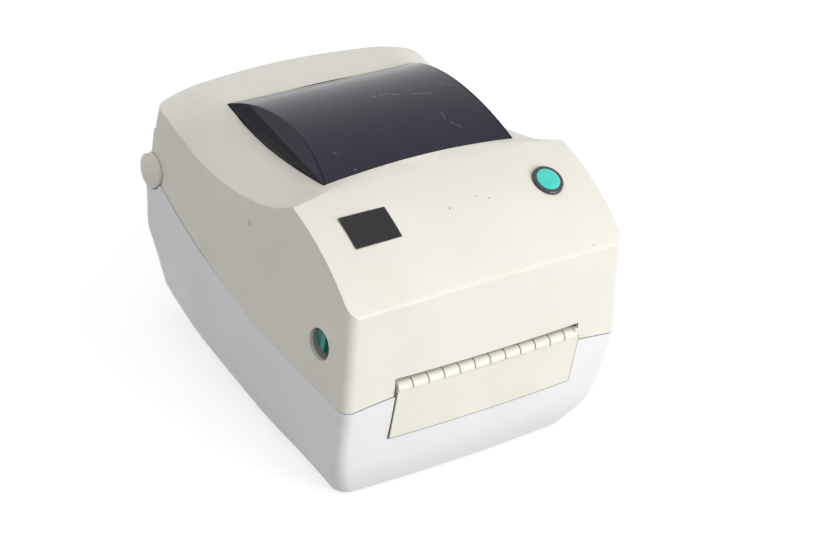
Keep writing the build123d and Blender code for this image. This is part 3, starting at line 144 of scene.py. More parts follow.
# How the tub departs from its plain form, in mm, at places along Y or Z: the keel swells outwards
# between front and back, and the rear corners tuck inwards and forwards below the hinge
KEEL_SWELL = [(-119, 0.0), (-90, 0.2), (-61, 1.6), (-32, 5.6), (-3, 6.4), (26, 5.6), (55, 4.6), (84, 0.5),
              (112, 0.0)]
SWELL_BY_HEIGHT = [(0, 1.0), (16, 1.0), (32, 0.5), (48, 0.1), (64, 0.0), (112, 0.0)]
CORNER_TUCK = [(0, 0.0), (16, 3.4), (32, 6.4), (48, 5.6), (64, 1.8), (80, 1.8), (92, 0.0), (112, 0.0)]

# Where the two begin, and the length over which they grow to full size, in mm from the middle or along Y
SWELL_SIDE = (34, 50)
TUCK_SIDE = (58, 30)
TUCK_BACK = (60, 40)

# The cage that shapes the tub: its corners, its points along each axis, and the cuts in mm along Y and Z
# that let the long faces follow it
CAGE_LOW = Vector((-0.1011, -0.119, 0.0))
CAGE_HIGH = Vector((0.1011, 0.112, 0.112))
CAGE_POINTS = (7, 9, 8)
TUB_CUTS_Y = range(-104, 112, 9)
TUB_CUTS_Z = (5, 20, 29, 40, 53, 70, 80)

# Camera: place and turn in degrees. Each lamp: place, the point it looks at, side
CAMERA_PLACE = (-0.79575, -0.92918, 0.89421)
CAMERA_TURN = (55.532, -8.962, -35.680)
KEY_LAMP = ((0.6, -1.5, 0.62), (0.0, -0.02, 0.08), 0.9)
TOP_LAMP = ((0.05, 0.25, 1.5), (0.0, 0.0, 0.1), 1.0)

# The floor's grey in the light, and what it gives off to the eye to look white round the shadow
FLOOR_GREY = 0.4
FLOOR_GLOW = 0.72


# Colours and shader helpers

def linear(hex_code):
    """An sRGB hex value as a linear colour."""
    channels = []
    for start in (0, 2, 4):
        value = int(hex_code[start:start + 2], 16) / 255
        channels.append(value / 12.92 if value <= 0.04045 else ((value + 0.055) / 1.055) ** 2.4)
    return (*channels, 1.0)


def add_node(tree, kind, inputs=None, **settings):
    """Add a shader node and return its outputs. A socket given as input is linked, any other value is set."""
    node = tree.nodes.new("ShaderNode" + kind)
    for name, value in settings.items():
        setattr(node, name, value)
    for name, value in (inputs or {}).items():
        if isinstance(value, bpy.types.NodeSocket):
            tree.links.new(value, node.inputs[name])
        else:
            node.inputs[name].default_value = value
    return node.outputs


def new_material(name):
    """An empty material with its node tree and the point on the piece in metres."""
    material = bpy.data.materials.new(name)
    material.use_nodes = True
    tree = material.node_tree
    tree.nodes.clear()
    return material, tree, add_node(tree, "TexCoord")["Object"]


def close_material(material, shader_inputs):
    """Give a material its surface, and return it."""
    tree = material.node_tree
    surface = add_node(tree, "BsdfPrincipled", shader_inputs)[0]
    add_node(tree, "OutputMaterial", {"Surface": surface})
    return material


def blotches(tree, place, size_mm, low, high, to_low=0.0, to_high=1.0, detail=3.0, roughness=0.5):
    """Soft patches about size_mm across, which go from one limit to the other between low and high."""
    patches = add_node(tree, "TexNoise", {"Vector": place, "Scale": 1 / (size_mm * MM), "Detail": detail,
                                          "Roughness": roughness})["Fac"]
    return add_node(tree, "MapRange", {"Value": patches, "From Min": low, "From Max": high,
                                       "To Min": to_low, "To Max": to_high})[0]


def grain(tree, place, size_mm, depth_mm, strength, normal, detail=2.0, roughness=0.5):
    """Normal of a skin with relief of a real size and depth, laid over another normal."""
    relief = add_node(tree, "TexNoise", {"Vector": place, "Scale": 1 / (size_mm * MM), "Detail": detail,
                                         "Roughness": roughness})["Fac"]
    return add_node(tree, "Bump", {"Height": relief, "Distance": depth_mm * MM, "Strength": strength,
                                   "Normal": normal})[0]


# Masks, from 0 to 1 over a piece

def spot_mask(tree, place, centre_mm, radius_mm, strength):
    """A small round mark whose edge fades over six tenths of its radius."""
    away = add_node(tree, "VectorMath", {0: place, 1: Vector(centre_mm) * MM}, operation="DISTANCE")["Value"]
    inside = add_node(tree, "MapRange", {"Value": away, "From Min": radius_mm * 1.6 * MM,
                                         "From Max": radius_mm * MM})[0]
    return add_node(tree, "Math", {0: inside, 1: strength}, operation="MULTIPLY")[0]


def gap_shade_and_grime_mask(tree, strength):
    """Painted shade, with some dirt, that darkens deep gaps and corners within 1.3 mm by how closed in they
    are.
    """
    opening = add_node(tree, "AmbientOcclusion", {"Distance": 1.3 * MM}, samples=6)["AO"]
    deep = add_node(tree, "MapRange", {"Value": opening, "From Min": 0.6, "From Max": 0.12})[0]
    return add_node(tree, "Math", {0: deep, 1: strength}, operation="MULTIPLY")[0]


def panel_gap_shade(tree, place):
    """The front panel's two sides and foot, with a brown painted shade line half a millimetre wide where its
    gap to the base is.
    """
    parts = add_node(tree, "SeparateXYZ", {0: place})
    aside = add_node(tree, "Math", {0: parts["X"]}, operation="ABSOLUTE")[0]
    sides = add_node(tree, "MapRange", {"Value": aside, "From Min": (PANEL_HALF - 0.75) * MM,
                                        "From Max": (PANEL_HALF - 0.3) * MM})[0]
    foot = add_node(tree, "MapRange", {"Value": parts["Z"], "From Min": (PANEL_FOOT + 0.75) * MM,
                                       "From Max": (PANEL_FOOT + 0.3) * MM})[0]
    edge = add_node(tree, "Math", {0: sides, 1: foot}, operation="MAXIMUM")[0]
    return add_node(tree, "Math", {0: edge, 1: 0.8}, operation="MULTIPLY")[0]


def speck_mask(tree, place):
    """Rare dark dust specks, under a millimetre across, one to each 26 mm at most."""
    away = add_node(tree, "TexVoronoi", {"Vector": place, "Scale": 1 / (26 * MM), "Randomness": 1.0},
                    feature="F1")["Distance"]
    dot = add_node(tree, "MapRange", {"Value": away, "From Min": 0.022, "From Max": 0.012})[0]
    rare = blotches(tree, place, 60, 0.52, 0.56, detail=0)
    faint = add_node(tree, "Math", {0: rare, 1: 0.75}, operation="MULTIPLY")[0]
    return add_node(tree, "Math", {0: dot, 1: faint}, operation="MULTIPLY")[0]


def along_lines(tree, place, lines):
    """Thin straight lines seen from above, each given by both ends and its half width in mm."""
    seen_flat = add_node(tree, "VectorMath", {0: place, 1: (1, 1, 0)}, operation="MULTIPLY")[0]
    mask = 0.0
    for first, second, half_width in lines:
        start = Vector((*first, 0)) * MM
        span = Vector((*second, 0)) * MM - start
        offset = add_node(tree, "VectorMath", {0: seen_flat, 1: start}, operation="SUBTRACT")[0]
        along = add_node(tree, "VectorMath", {0: offset, 1: span / span.length_squared},
                         operation="DOT_PRODUCT")["Value"]
        share = add_node(tree, "MapRange", {"Value": along})[0]
        foot = add_node(tree, "VectorMath", {0: span, "Scale": share}, operation="SCALE")[0]
        away = add_node(tree, "VectorMath", {0: offset, 1: foot}, operation="DISTANCE")["Value"]
        near = add_node(tree, "MapRange", {"Value": away, "From Min": half_width * 1.6 * MM,
                                           "From Max": half_width * 0.5 * MM})[0]
        mask = add_node(tree, "Math", {0: near, 1: mask}, operation="MAXIMUM")[0]
    return mask


def below_line(tree, parts, line):
    """How far a point lies under a line drawn in side view, in metres."""
    slope, height_mm = line
    rise = add_node(tree, "Math", {0: parts["Y"], 1: slope}, operation="MULTIPLY")[0]
    level = add_node(tree, "Math", {0: rise, 1: height_mm * MM}, operation="ADD")[0]
    return add_node(tree, "Math", {0: level, 1: parts["Z"]}, operation="SUBTRACT")[0]


def cheek_shade_mask(tree, place):
    """The window's lower cheek with painted shade, and a painted dark shade line where cheek and bow meet."""
    parts = add_node(tree, "SeparateXYZ", {0: place})
    shaded = add_node(tree, "MapRange", {"Value": below_line(tree, parts, CHEEK_SHADE),
                                         "From Min": -0.2 * MM, "From Max": 0.2 * MM})[0]
    lean = math.radians(CHEEK_LEAN)
    aside = add_node(tree, "Math", {0: parts["X"]}, operation="ABSOLUTE")[0]
    across = add_node(tree, "Math", {0: aside, 1: WINDOW_HALF * MM}, operation="SUBTRACT")[0]
    level_part = add_node(tree, "Math", {0: across, 1: math.cos(lean)}, operation="MULTIPLY")[0]
    steep_part = add_node(tree, "Math", {0: below_line(tree, parts, WINDOW_FOOT), 1: math.sin(lean)},
                          operation="MULTIPLY")[0]
    outward = add_node(tree, "Math", {0: level_part, 1: steep_part}, operation="SUBTRACT")[0]
    on_cheek = add_node(tree, "MapRange", {"Value": outward, "From Min": -0.6 * MM,
                                           "From Max": -0.3 * MM})[0]
    past_edge = add_node(tree, "Math", {0: outward, 1: 0.9 * MM}, operation="ADD")[0]
    off_edge = add_node(tree, "Math", {0: past_edge}, operation="ABSOLUTE")[0]
    edge = add_node(tree, "MapRange", {"Value": off_edge, "From Min": 0.6 * MM, "From Max": 0.3 * MM})[0]
    low_cheek = add_node(tree, "Math", {0: shaded, 1: on_cheek}, operation="MULTIPLY")[0]
    return add_node(tree, "Math", {0: low_cheek, 1: edge}, operation="MAXIMUM")[0]


# Finishes, each named for the real material

def moulded_plastic(name, shade, worn_shade, roughness=0.42, grain_mm=0.7, grain_depth_mm=0.02, edge_mm=0.5,
                    specks=False, marks=(), top_marks=(), gap_shade_and_grime=0.9, panel_shade_line=False):
    """Injection-moulded ABS: spark-eroded grain, faint yellowing in clouds, softened edges."""
    material, tree, place = new_material(name)
    clouds = blotches(tree, place, 45, 0.35, 0.7)
    handling = blotches(tree, place, 9, 0.55, 0.8, 0.0, 0.22, 5, 0.7)
    stains = [(handling, worn_shade)]
    if specks:
        stains.append((speck_mask(tree, place), linear("6B6456")))
    # Sink marks painted as the shade in their dips
    for centre_mm, radius_mm, strength in marks:
        stains.append((spot_mask(tree, place, centre_mm, radius_mm, strength), linear("8C877B")))
    for first, second, half_width, strength in top_marks:
        line = along_lines(tree, place, [(first, second, half_width)])
        faint = add_node(tree, "Math", {0: line, 1: strength}, operation="MULTIPLY")[0]
        stains.append((faint, linear("5B564C")))
    # Painted shade line along the panel's sides and foot, where it meets the base
    if panel_shade_line:
        stains.append((panel_gap_shade(tree, place), linear("6A5E4C")))
    # Painted shade with some dirt, darker deep in gaps, seams and corners
    stains.append((gap_shade_and_grime_mask(tree, gap_shade_and_grime), linear("3A332B")))
    colour = add_node(tree, "Mix", {0: clouds, 6: shade, 7: worn_shade}, data_type="RGBA")[2]
    for mask, stain in stains:
        colour = add_node(tree, "Mix", {0: mask, 6: colour, 7: stain}, data_type="RGBA")[2]
    rough = blotches(tree, place, 6, 0.3, 0.7, roughness - 0.05, roughness + 0.06)
    edges = add_node(tree, "Bevel", {"Radius": edge_mm * MM}, samples=4)[0]
    # The real grain is about 0.1 mm across, and is drawn this coarse so that it shows
    skin = grain(tree, place, grain_mm, grain_depth_mm, 0.5, edges, 2, 0.6)
    # Walls cool unevenly, which leaves low waves about 30 mm long
    waves = grain(tree, place, 30, 0.07, 0.25, skin, 1)
    return close_material(material, {"Base Color": colour, "Roughness": rough, "Normal": waves, "IOR": 1.54})


def smoked_polycarbonate(shade):
    """Polished smoked polycarbonate: nearly black, glossy, with wiping scratches and dust."""
    material, tree, place = new_material("smoked_polycarbonate")
    tint = blotches(tree, place, 30, 0.3, 0.7, detail=2)
    colour = add_node(tree, "Mix", {0: tint, 6: shade, 7: linear("15131E")}, data_type="RGBA")[2]
    # The lower cheek and the line where it meets the bow get painted shade, and reflect less there
    dark = cheek_shade_mask(tree, place)
    colour = add_node(tree, "Mix", {0: dark, 6: colour, 7: linear("040405")}, data_type="RGBA")[2]
    # Scratches are broken up every millimetre, and dust grains are as coarse as shows in a render
    broken = blotches(tree, place, 1.1, 0.40, 0.52, roughness=0.7)
    faint = add_node(tree, "Math", {0: broken, 1: 0.5}, operation="MULTIPLY")[0]
    scratches = along_lines(tree, place, WINDOW_SCRATCHES)
    worn = add_node(tree, "Math", {0: scratches, 1: faint}, operation="MULTIPLY")[0]
    dust = blotches(tree, place, 0.9, 0.70, 0.78, 0.0, 0.2, 2)
    pale = add_node(tree, "Math", {0: worn, 1: dust}, operation="ADD")[0]
    colour = add_node(tree, "Mix", {0: pale, 6: colour, 7: linear("B9B6C4")}, data_type="RGBA")[2]
    rough = blotches(tree, place, 12, 0.35, 0.7, 0.07, 0.15, 4)
    edges = add_node(tree, "Bevel", {"Radius": 0.6 * MM}, samples=4)[0]
    gloss = add_node(tree, "MapRange", {"Value": dark, "To Min": 0.38, "To Max": 0.15})[0]
    return close_material(material, {
        "Base Color": colour, "Roughness": rough, "Normal": grain(tree, place, 40, 0.25, 0.25, edges, 1),
        "IOR": 1.58, "Specular IOR Level": gloss, "Transmission Weight": 0.12,
        "Specular Tint": linear("E4DFFF")})


def polished_plastic(name, shade, deep_shade, roughness=0.2, ior=1.5):
    """Smooth moulded cap or slide: even colour, gentle gloss, fine scuffs."""
    material, tree, place = new_material(name)
    tint = blotches(tree, place, 5, 0.35, 0.7)
    colour = add_node(tree, "Mix", {0: tint, 6: shade, 7: deep_shade}, data_type="RGBA")[2]
    rough = blotches(tree, place, 2.5, 0.35, 0.75, roughness, roughness + 0.14, 5, 0.7)
    edges = add_node(tree, "Bevel", {"Radius": 0.35 * MM}, samples=4)[0]
    skin = grain(tree, place, 0.9, 0.006, 0.5, edges)
    return close_material(material, {"Base Color": colour, "Roughness": rough, "Normal": skin, "IOR": ior})


def acetal(name, shade, deep_shade):
    """Smooth acetal with a waxy sheen, for gears, hubs and bushes."""
    material, tree, place = new_material(name)
    tint = blotches(tree, place, 8, 0.3, 0.7)
    colour = add_node(tree, "Mix", {0: tint, 6: shade, 7: deep_shade}, data_type="RGBA")[2]
    rough = blotches(tree, place, 1.5, 0.3, 0.7, 0.32, 0.44)
    edges = add_node(tree, "Bevel", {"Radius": 0.2 * MM}, samples=4)[0]
    skin = grain(tree, place, 0.5, 0.004, 0.6, edges)
    return close_material(material, {"Base Color": colour, "Roughness": rough, "Normal": skin, "IOR": 1.48,
                                     "Subsurface Weight": 0.08, "Subsurface Scale": 0.002})


def metal(name, shade, dark_shade, roughness, grain_mm, stretch):
    """Bare or plated metal with its working marks stretched along one axis."""
    material, tree, place = new_material(name)
    # Rolling, grinding and drawing marks are finer in truth, and are drawn this coarse so that they show
    worked = add_node(tree, "Mapping", {"Vector": place, "Scale": stretch})[0]
    tint = blotches(tree, place, 14, 0.35, 0.75)
    colour = add_node(tree, "Mix", {0: tint, 6: shade, 7: dark_shade}, data_type="RGBA")[2]
    rough = blotches(tree, worked, grain_mm, 0.3, 0.7, roughness - 0.07, roughness + 0.09, 3, 0.6)
    edges = add_node(tree, "Bevel", {"Radius": 0.15 * MM}, samples=4)[0]
    skin = grain(tree, worked, grain_mm, 0.004, 0.6, edges, 3, 0.6)
    return close_material(material, {"Base Color": colour, "Metallic": 1.0, "Roughness": rough,
                                     "Normal": skin})


def moulded_rubber(name, shade, dusty_shade, grain_mm):
    """Matte black rubber with a ground or moulded skin and pale dust."""
    material, tree, place = new_material(name)
    dust = blotches(tree, place, 3, 0.5, 0.85, 0.0, 0.5, 5, 0.7)
    colour = add_node(tree, "Mix", {0: dust, 6: shade, 7: dusty_shade}, data_type="RGBA")[2]
    rough = blotches(tree, place, 2, 0.3, 0.7, 0.68, 0.85)
    edges = add_node(tree, "Bevel", {"Radius": 0.4 * MM}, samples=4)[0]
    skin = grain(tree, place, grain_mm, 0.03, 0.6, edges, 3)
    return close_material(material, {"Base Color": colour, "Roughness": rough, "Normal": skin, "IOR": 1.52})


def glass_epoxy_board():
    """Glass epoxy board: green solder mask over copper tracks on a 1.27 mm grid."""
    material, tree, place = new_material("glass_epoxy_board")
    rows = add_node(tree, "TexBrick", {"Vector": place, "Scale": 1 / (10 * MM), "Mortar Size": 0.012,
                                       "Brick Width": 0.9, "Row Height": 0.127, "Color1": (1, 1, 1, 1),
                                       "Color2": (0.6, 0.6, 0.6, 1), "Mortar": (0, 0, 0, 1)})["Color"]
    runs = blotches(tree, place, 11, 0.45, 0.55, detail=1)
    tracks = add_node(tree, "Math", {0: runs, 1: rows}, operation="MULTIPLY")[0]
    colour = add_node(tree, "Mix", {0: tracks, 6: linear("17482E"), 7: linear("2A6E46")},
                      data_type="RGBA")[2]
    edges = add_node(tree, "Bevel", {"Radius": 0.1 * MM}, samples=4)[0]
    raised = add_node(tree, "Bump", {"Height": tracks, "Distance": 0.035 * MM, "Strength": 0.8,
                                     "Normal": edges})[0]
    return close_material(material, {"Base Color": colour, "Roughness": 0.3, "Normal": raised, "IOR": 1.52})


def threaded_screw():
    """Zinc plated steel: the shank shows the crests of its thread every 0.9 mm."""
    material, tree, place = new_material("zinc_plated_screw")
    height = add_node(tree, "SeparateXYZ", {0: place})["Z"]
    turns = add_node(tree, "Math", {0: height, 1: 2 * math.pi / (0.9 * MM)}, operation="MULTIPLY")[0]
    crests = add_node(tree, "Math", {0: turns}, operation="SINE")[0]
    facing = add_node(tree, "SeparateXYZ", {0: add_node(tree, "NewGeometry")["Normal"]})["Z"]
    upright = add_node(tree, "Math", {0: facing}, operation="ABSOLUTE")[0]
    on_shank = add_node(tree, "MapRange", {"Value": upright, "From Min": 0.3, "From Max": 0.1})[0]
    thread = add_node(tree, "Math", {0: crests, 1: on_shank}, operation="MULTIPLY")[0]
    tint = blotches(tree, place, 1.5, 0.35, 0.7)
    colour = add_node(tree, "Mix", {0: tint, 6: linear("BDBFC0"), 7: linear("A5A8AA")},
                      data_type="RGBA")[2]
    rough = blotches(tree, place, 0.6, 0.3, 0.7, 0.24, 0.38)
    edges = add_node(tree, "Bevel", {"Radius": 0.1 * MM}, samples=4)[0]
    raised = add_node(tree, "Bump", {"Height": thread, "Distance": 0.15 * MM, "Strength": 0.7,
                                     "Normal": edges})[0]
    return close_material(material, {"Base Color": colour, "Metallic": 1.0, "Roughness": rough,
                                     "Normal": raised})


def make_finishes(colours):
    """Every finish by the record's slot name, and then those that no CAD slot has."""
    return {
        # The cover has yellowed a little more than the base, and carries a few dust specks
        "cover_plastic": moulded_plastic("moulded_abs_warm_white", colours.cover, linear("E0DDD1"),
                                         specks=True, marks=COVER_SINK_SHADES, top_marks=SLOPE_MARKS),
        # The base keeps its first cool white, with the same fine grain
        "base_plastic": moulded_plastic("moulded_abs_cool_white", colours.base, linear("E7E7E8")),
        # The front panel has gone creamier than the base round it, with a painted shade line round its edge
        # and only faint painted shade in its grooves
        "panel_plastic": moulded_plastic("moulded_abs_cream", colours.panel, linear("E4E1D3"), specks=True,
                                         gap_shade_and_grime=0.45, panel_shade_line=True),
        # A deep gloss that shows the light along the bow, and almost nothing behind it
        "smoked_window": smoked_polycarbonate(colours.window),
        # Lacquer over a thin plate: an even black with a low sheen
        "badge_black": polished_plastic("lacquered_plate_black", linear("0F0F13"), linear("15151A"), 0.25,
                                        1.42),
        # The ring is finely grained and catches a thin light on its rounded lip
        "ring_grey": moulded_plastic("moulded_abs_dark_grey", linear("3A3B40"), linear("323338"), 0.3, 0.4,
                                     0.008, 0.3),
        # The button's cap is clear enough at the skin to look wet
        "button_teal": polished_plastic("polycarbonate_teal", colours.button, linear("3ACABC"), 0.22, 1.58),
        # Sliding acetal is duller and deeper in colour
        "latch_teal": polished_plastic("acetal_dark_teal", colours.latch, linear("177A72"), 0.28),
        # The tray has a coarse dull grain that hides paper dust
        "deck_grey": moulded_plastic("moulded_abs_grey", linear("8C8E90"), linear("7F8183"), 0.5, 0.6, 0.03,
                                     0.4),
        # Roll holders and guides are smoother, because labels rub along them
        "holder_grey": moulded_plastic("moulded_acetal_grey", linear("6A6E72"), linear("5E6266"), 0.4, 0.5,
                                       0.01, 0.4),
        # Glass fibres at the skin leave this one dull
        "dark_plastic": moulded_plastic("glass_filled_nylon_black", linear("2A2B2F"), linear("35363A"), 0.55,
                                        0.4, 0.03, 0.3),
        # Gears, hubs and bushes have a waxy glow at thin edges
        "acetal_white": acetal("acetal_white", linear("E6E4DB"), linear("DAD7CB")),
        # The platen is ground to size, which leaves a fine matte nap
        "platen_rubber": moulded_rubber("ground_rubber_black", linear("242427"), linear("3A3A3C"), 0.35),
        # Feet have the mould's coarser skin, greyed with dust
        "foot_rubber": moulded_rubber("moulded_rubber_black", linear("2A2A2C"), linear("4A4A48"), 0.8),
        # Zinc plate shows faint rolling lines along the sheet
        "plated_steel": metal("zinc_plated_steel", linear("B9BBBD"), linear("9FA3A8"), 0.36, 1.2,
                              (1.0, 1.0, 0.1)),
        # Ground shafts show rings round the axis, which runs along X
        "shaft_steel": metal("ground_steel", linear("C4C5C7"), linear("A9ABAE"), 0.26, 0.5,
                             (1.0, 0.05, 0.05)),
        # Drawn wire is greyer than plate and shines in short glints
        "spring_steel": metal("drawn_spring_wire", linear("9A9CA0"), linear("83868B"), 0.32, 0.6,
                              (1.0, 1.0, 1.0)),
        # Extrusion leaves lines along the fins
        "sink_aluminium": metal("extruded_aluminium", linear("B6B9BC"), linear("A2A6AA"), 0.34, 0.8,
                                (0.04, 1.0, 1.0)),
        # The glazed strip is the shiniest thing inside, with a warm tone
        "head_ceramic": polished_plastic("glazed_ceramic_strip", linear("D8D2C4"), linear("CBC4B3"), 0.12,
                                         1.6),
        # Tracks show through the green as lighter raised lines
        "board_green": glass_epoxy_board(),
        # Moulded chips and cans: flat black with a faint sheen at the edges
        "part_black": moulded_plastic("moulded_epoxy_black", linear("1C1D1F"), linear("26272A"), 0.5, 0.35,
                                      0.02, 0.2),
        # Nickel is warmer and brighter than zinc
        "socket_shell": metal("nickel_plated_shell", linear("C2C4C5"), linear("ABAEB1"), 0.28, 1.0,
                              (1.0, 1.0, 1.0)),
        # Screws share the plate's zinc, and their threads break its light into rings
        "zinc_screw": threaded_screw(),
        # The cut edge of the adhesive film under the plate
        "film_edge": polished_plastic("adhesive_film_edge", linear("8A8072"), linear("776E61"), 0.45),
    }


# New pieces, each modelled with Blender's own operators

def clear_selection():
    """Deselect everything, so that an operator acts on the new piece alone."""
    bpy.ops.object.select_all(action="DESELECT")


def pick(piece):
    """Select one piece alone and make it active."""
    clear_selection()
    piece.select_set(True)
    bpy.context.view_layer.objects.active = piece


def settle(piece, name, body, material, smooth_angle=0.6):
    """Name a finished piece, bake its place into its mesh, finish it and let it ride."""
    pick(piece)
    bpy.ops.object.transform_apply(location=True, rotation=True, scale=True)
    bpy.ops.object.shade_smooth_by_angle(angle=smooth_angle)
    piece.name = name
    piece.data.name = name
    piece.data.materials.clear()
    piece.data.materials.append(material)
    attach(piece, body)
    return piece


def place_box(low, high):
    """Box between two corners, as the active piece."""
    clear_selection()
    middle = [(a + b) / 2 for a, b in zip(low, high)]
    bpy.ops.mesh.primitive_cube_add(size=1.0, location=middle)
    piece = bpy.context.object
    piece.scale = [b - a for a, b in zip(low, high)]
    return piece


def join(pieces):
    """Join pieces into the first one."""
    clear_selection()
    for piece in pieces:
        piece.select_set(True)
    bpy.context.view_layer.objects.active = pieces[0]
    bpy.ops.object.join()
    return pieces[0]


def copy_of(piece):
    """A copy of a piece with its own mesh."""
    pick(piece)
    bpy.ops.object.duplicate(linked=False)
    return bpy.context.object


def copy_to(piece, place, turn=(0.0, 0.0, 0.0)):
    """A copy of a piece at a place."""
    copy = copy_of(piece)
    copy.location = place
    copy.rotation_euler = turn
    return copy


def discard(piece):
    """Delete a piece that has served its purpose."""
    pick(piece)
    bpy.ops.object.delete()


def modify(piece, kind, **settings):
    """Add a modifier with its settings to a piece and apply it."""
    pick(piece)
    bpy.ops.object.modifier_add(type=kind)
    modifier = piece.modifiers[-1]
    for name, value in settings.items():
        setattr(modifier, name, value)
    bpy.ops.object.modifier_apply(modifier=modifier.name)
    return piece


def bevelled(piece, width, segments=2):
    """Round the piece's edges."""
    pick(piece)
    bpy.ops.object.transform_apply(location=False, rotation=False, scale=True)
    return modify(piece, "BEVEL", width=width, segments=segments)


def cut_with(piece, tool):
    """Cut one piece with another, which is used up."""
    modify(piece, "BOOLEAN", object=tool, operation="DIFFERENCE", solver="EXACT")
    discard(tool)
    return piece


def pan_head_screw(head_radius, shank_radius, shank_length):
    """Pan head screw with a cross recess, head upwards, seat at the origin."""
    clear_selection()
    bpy.ops.mesh.primitive_cylinder_add(vertices=40, radius=head_radius, depth=HEAD_HEIGHT,
                                        location=(0, 0, HEAD_HEIGHT / 2))
    head = bevelled(bpy.context.object, HEAD_HEIGHT * 0.45, 4)
    for turn in (0.0, math.pi / 2):
        slot = place_box((-head_radius * 0.62, -RECESS_HALF, HEAD_HEIGHT * 0.35),
                         (head_radius * 0.62, RECESS_HALF, HEAD_HEIGHT * 1.5))
        slot.rotation_euler = (0, 0, turn)
        cut_with(head, slot)
    tip_length = shank_radius * 1.6
    clear_selection()
    bpy.ops.mesh.primitive_cone_add(vertices=24, radius1=shank_radius * 0.4, radius2=shank_radius,
                                    depth=tip_length, location=(0, 0, -shank_length + tip_length / 2))
    tip = bpy.context.object
    straight = shank_length - tip_length
    clear_selection()
    bpy.ops.mesh.primitive_cylinder_add(vertices=24, radius=shank_radius, depth=straight,
                                        location=(0, 0, -straight / 2))
    return join([head, bpy.context.object, tip])


def coil_spring(length, turns):
    """Compression spring along Z from the origin, made by screwing a wire section."""
    clear_selection()
    bpy.ops.mesh.primitive_circle_add(vertices=10, radius=WIRE_RADIUS,
                                      location=(SPRING_RADIUS, 0, WIRE_RADIUS))
    wire = bpy.context.object
    wire.rotation_euler = (math.pi / 2, 0, 0)
    bpy.ops.object.transform_apply(location=True, rotation=True, scale=True)
    modify(wire, "SCREW", axis="Z", iterations=turns, screw_offset=(length - 2 * WIRE_RADIUS) / turns,
           steps=24, render_steps=24, use_merge_vertices=True)
    bpy.ops.object.mode_set(mode="EDIT")
    bpy.ops.mesh.select_all(action="SELECT")
    bpy.ops.mesh.remove_doubles(threshold=0.01 * MM)
    # The wire's two open ends are capped
    bpy.ops.mesh.select_all(action="DESELECT")
    bpy.ops.mesh.select_non_manifold()
    bpy.ops.mesh.edge_face_add()
    bpy.ops.mesh.select_all(action="SELECT")
    bpy.ops.mesh.normals_make_consistent(inside=False)
    bpy.ops.object.mode_set(mode="OBJECT")
    return wire


def smooth_copy(node, body, slot_name, reshape=None):
    """Stand-in for a CAD piece with its facets merged, so that curved faces shade smoothly."""
    copy = copy_of(frame["nodes"][node])
    bpy.ops.mesh.customdata_custom_splitnormals_clear()
    bpy.ops.object.mode_set(mode="EDIT")
    bpy.ops.mesh.select_all(action="SELECT")
    bpy.ops.mesh.remove_doubles(threshold=0.005 * MM)
    bpy.ops.mesh.normals_make_consistent(inside=False)
    bpy.ops.object.mode_set(mode="OBJECT")
    if reshape:
        reshape(copy)
    settle(copy, f"{node}_skin", body, finish(slot_name), 0.42)
    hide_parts(node)


def read_row(rows, at):
    """The value between the two nearest places of a row list."""
    for (a, first), (b, second) in zip(rows, rows[1:]):
        if at <= b:
            return first + (second - first) * max(0.0, (at - a) / (b - a))
    return rows[-1][1]


def grown(at, start_and_length):
    """0 up to a start, then rising to 1 over a length."""
    start, length = start_and_length
    return min(1.0, max(0.0, (at - start) / length))


def tub_shift(place):
    """Where a point of the tub's cage moves, for a place in mm."""
    x, y, z = place
    side = 1 if x > 0 else -1
    swell = read_row(KEEL_SWELL, y) * read_row(SWELL_BY_HEIGHT, z) * grown(abs(x), SWELL_SIDE)
    tuck = read_row(CORNER_TUCK, z) * (grown(y, TUCK_BACK) * grown(abs(x), TUCK_SIDE))
    return Vector((side * (swell - tuck), -tuck, 0.0))


def slice_mesh(piece, axis, places):
    """Cut a piece's faces at places in mm along an axis, so that they can take a new curve."""
    pick(piece)
    bpy.ops.object.mode_set(mode="EDIT")
    for place in places:
        bpy.ops.mesh.select_all(action="SELECT")
        bpy.ops.mesh.bisect(plane_co=[value * place * MM for value in axis], plane_no=axis)
    bpy.ops.object.mode_set(mode="OBJECT")


def shape_tub(shell):
    """Swell and tuck the base shell with a cage, which is then deleted."""
    slice_mesh(shell, (0.0, 1.0, 0.0), TUB_CUTS_Y)
    slice_mesh(shell, (0.0, 0.0, 1.0), TUB_CUTS_Z)
    clear_selection()
    bpy.ops.object.add(type="LATTICE", location=(CAGE_LOW + CAGE_HIGH) / 2)
    cage = bpy.context.object
    cage.scale = CAGE_HIGH - CAGE_LOW
    cage.data.points_u, cage.data.points_v, cage.data.points_w = CAGE_POINTS
    for point in cage.data.points:
        sides = list(zip(CAGE_LOW, CAGE_HIGH, point.co))
        shift = tub_shift([((a + b) / 2 + c * (b - a)) / MM for a, b, c in sides]) * MM
        point.co_deform = [c + move / (b - a) for (a, b, c), move in zip(sides, shift)]
    modify(shell, "LATTICE", object=cage)
    discard(cage)


FINISHES = {}


def finish(name):
    """A finish by its name. All of them are made on first use, with the colours then set."""
    if not FINISHES:
        FINISHES.update(make_finishes(bpy.context.scene.printer_colours))
    return FINISHES[name]


# The add-on: what a user would change, then an operator for each group of pieces

def colour_choice(name, description, hex_code):
    """A colour that the user can pick."""
    return bpy.props.FloatVectorProperty(name=name, description=description, subtype="COLOR", size=4,
                                         min=0.0, max=1.0, default=linear(hex_code))


class PrinterColours(bpy.types.PropertyGroup):
    """Main colours of the plastics."""

    cover: colour_choice("Cover", "Warm white plastic of the hinged cover", "E4E2D8")
    base: colour_choice("Base", "Cool white plastic of the tub", "ECECEF")
    panel: colour_choice("Front panel", "Cream plastic of the front panel", "E9E7DB")
    window: colour_choice("Window", "Smoked plastic of the window", "100F18")
    button: colour_choice("Button", "Teal cap of the feed button", "40D0C4")
    latch: colour_choice("Latches", "Dark teal plastic of the latches", "1C8C84")


